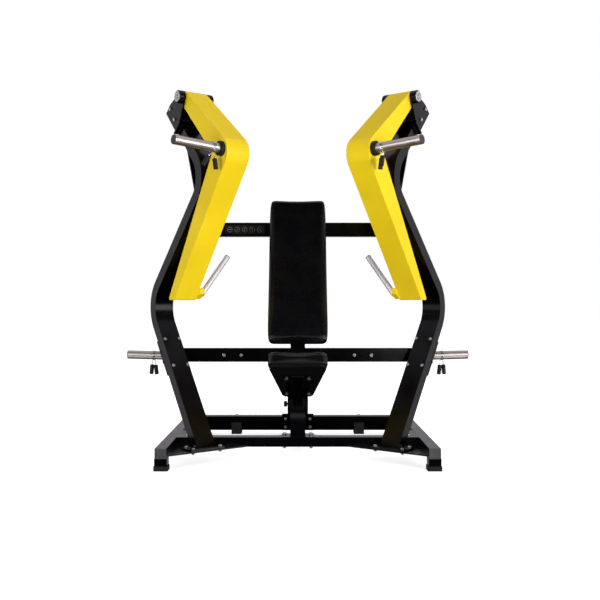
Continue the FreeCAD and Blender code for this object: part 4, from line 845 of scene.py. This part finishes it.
def area_light(name, spot, aim, wide, high, power, colour=(1, 1, 1)):
    data = bpy.data.lights.new(name, "AREA")
    data.shape = "RECTANGLE"
    data.size = wide
    data.size_y = high
    data.energy = power
    data.color = colour
    lamp = bpy.data.objects.new(name, data)
    bpy.context.scene.collection.objects.link(lamp)
    lamp.location = spot
    lamp.rotation_euler = (Vector(aim) - Vector(spot)).to_track_quat("-Z", "Y").to_euler()
    return lamp


def studio_world():
    """White to the camera. The machine meets a glow that is strong beside it, faint behind and dark in front,
    with soft strips: one level with the machine and brighter on the right, and others above and below the
    camera.
    """
    world = bpy.data.worlds.new("studio")
    bpy.context.scene.world = world
    world.use_nodes = True
    tree = world.node_tree
    tree.nodes.clear()

    def add(kind, **settings):
        node = tree.nodes.new(kind)
        for key, setting in settings.items():
            setattr(node, key, setting)
        return node

    split = add("ShaderNodeSeparateXYZ")
    tree.links.new(add("ShaderNodeTexCoord").outputs["Generated"], split.inputs[0])
    share = add("ShaderNodeMapRange")
    share.inputs["From Min"].default_value = -1.0
    tree.links.new(split.outputs["Y"], share.inputs["Value"])
    stops = add("ShaderNodeValToRGB")
    stops.color_ramp.interpolation = "EASE"
    for index, (ahead, level) in enumerate(GLOW_STOPS):
        marks = stops.color_ramp.elements
        mark = marks[index] if index < 2 else marks.new(1.0)
        mark.position = (ahead + 1) / 2
        mark.color = (level, level, level, 1)
    tree.links.new(share.outputs["Result"], stops.inputs["Fac"])

    def window(level, *ramps):
        """A level that holds where every ramp is at its top; a ramp is an axis, its start and its end."""
        total = None
        for axis, low, high in ramps:
            ramp = add("ShaderNodeMapRange", interpolation_type="SMOOTHSTEP")
            ramp.inputs["From Min"].default_value = low
            ramp.inputs["From Max"].default_value = high
            ramp.inputs["To Max"].default_value = 1.0 if total else level
            tree.links.new(split.outputs[axis], ramp.inputs["Value"])
            total = joined("MULTIPLY", total, ramp.outputs["Result"]) if total else ramp.outputs["Result"]
        return total

    def joined(operation, first, second):
        node = add("ShaderNodeMath", operation=operation)
        tree.links.new(first, node.inputs[0])
        tree.links.new(second, node.inputs[1])
        return node.outputs["Value"]

    strength = joined("MULTIPLY", stops.outputs["Color"], window(GLOW, ("Z", -0.75, 0.0)))
    beside = (("Z", -0.22, -0.1), ("Z", 0.22, 0.1), ("Y", -0.55, -0.35), ("Y", 0.1, -0.05))
    low = (("Z", -0.65, -0.5), ("Z", -0.27, -0.38), ("Y", -0.55, -0.7))
    centre = (("X", -0.6, -0.4), ("X", 0.6, 0.4))
    steep = (("Z", -0.97, -0.9), ("Z", -0.62, -0.72), ("Y", -0.2, -0.35))
    above = (("Z", 0.1, 0.2), ("Z", 0.46, 0.36), ("Y", -0.7, -0.8))
    strips = (window(BAND_GLOW, *beside), window(RIGHT_GLOW, ("X", 0.3, 0.6), *beside),
              window(FLOOR_GLOW, *low), window(FRONT_GLOW, *above, *centre),
              window(FRONT_GLOW, *steep, *centre),
              window(FRONT_GLOW, ("X", -0.1, 0.25), ("X", 0.7, 0.5), *steep))
    for strip in strips:
        strength = joined("ADD", strength, strip)
    around = add("ShaderNodeBackground")
    around.inputs["Color"].default_value = (0.97, 0.93, 1.0, 1)
    tree.links.new(strength, around.inputs["Strength"])
    seen = add("ShaderNodeBackground")
    seen.inputs["Color"].default_value = (1, 1, 1, 1)
    mix = add("ShaderNodeMixShader")
    tree.links.new(add("ShaderNodeLightPath").outputs["Is Camera Ray"], mix.inputs["Fac"])
    tree.links.new(around.outputs["Background"], mix.inputs[1])
    tree.links.new(seen.outputs["Background"], mix.inputs[2])
    tree.links.new(mix.outputs["Shader"], add("ShaderNodeOutputWorld").inputs["Surface"])


def studio_floor():
    form = bmesh.new()
    bmesh.ops.create_circle(form, cap_ends=True, segments=64, radius=40)
    mesh = bpy.data.meshes.new("floor")
    form.to_mesh(mesh)
    form.free()
    floor = bpy.data.objects.new("floor", mesh)
    bpy.context.scene.collection.objects.link(floor)
    floor.location.z = cad_box[0].z - 0.5 * MM
    made = Material("floor_white", (0.92, 0.92, 0.92), 0.9)
    made.value("Emission Color", (1, 1, 1, 1))
    made.value("Emission Strength", 0.72)
    made.tint(made.noise(2.0, 2.0), 0.995, 1.0)
    floor.data.materials.append(made.data)
    floor.visible_glossy = False
    floor.visible_diffuse = False


studio_world()
studio_floor()
area_light("key_right", (3.6, -4.6, 1.2), (0, -0.2, 1.2), 2.2, 2.2, 235, (1.0, 0.99, 0.96))
area_light("fill_left", (-3.6, -4.4, 1.1), (0, -0.2, 1.2), 2.0, 2.2, 135, (0.98, 0.98, 1.0))
area_light("overhead", (0, 0.4, 5.2), (0, 0.2, 0), 4.0, 3.0, 15)
area_light("rear", (0, 5.5, 3.2), (0, 0, 1.0), 5.0, 2.5, 60)
area_light("low_strip", (1.5, -4.8, 0.35), (0, 0, 0.7), 1.2, 0.2, 3)

CAMERA_AWAY = 5.071
CAMERA_HIGH = 0.9
camera_data = bpy.data.cameras.new("camera")
camera_data.lens = 51.48
camera_data.shift_x = 0.0037
camera = bpy.data.objects.new("camera", camera_data)
bpy.context.scene.collection.objects.link(camera)
camera.location = (0, -CAMERA_AWAY, CAMERA_HIGH)
camera.rotation_euler = (math.radians(90), 0, 0)
bpy.context.scene.camera = camera
bpy.context.scene.view_settings.view_transform = "Standard"
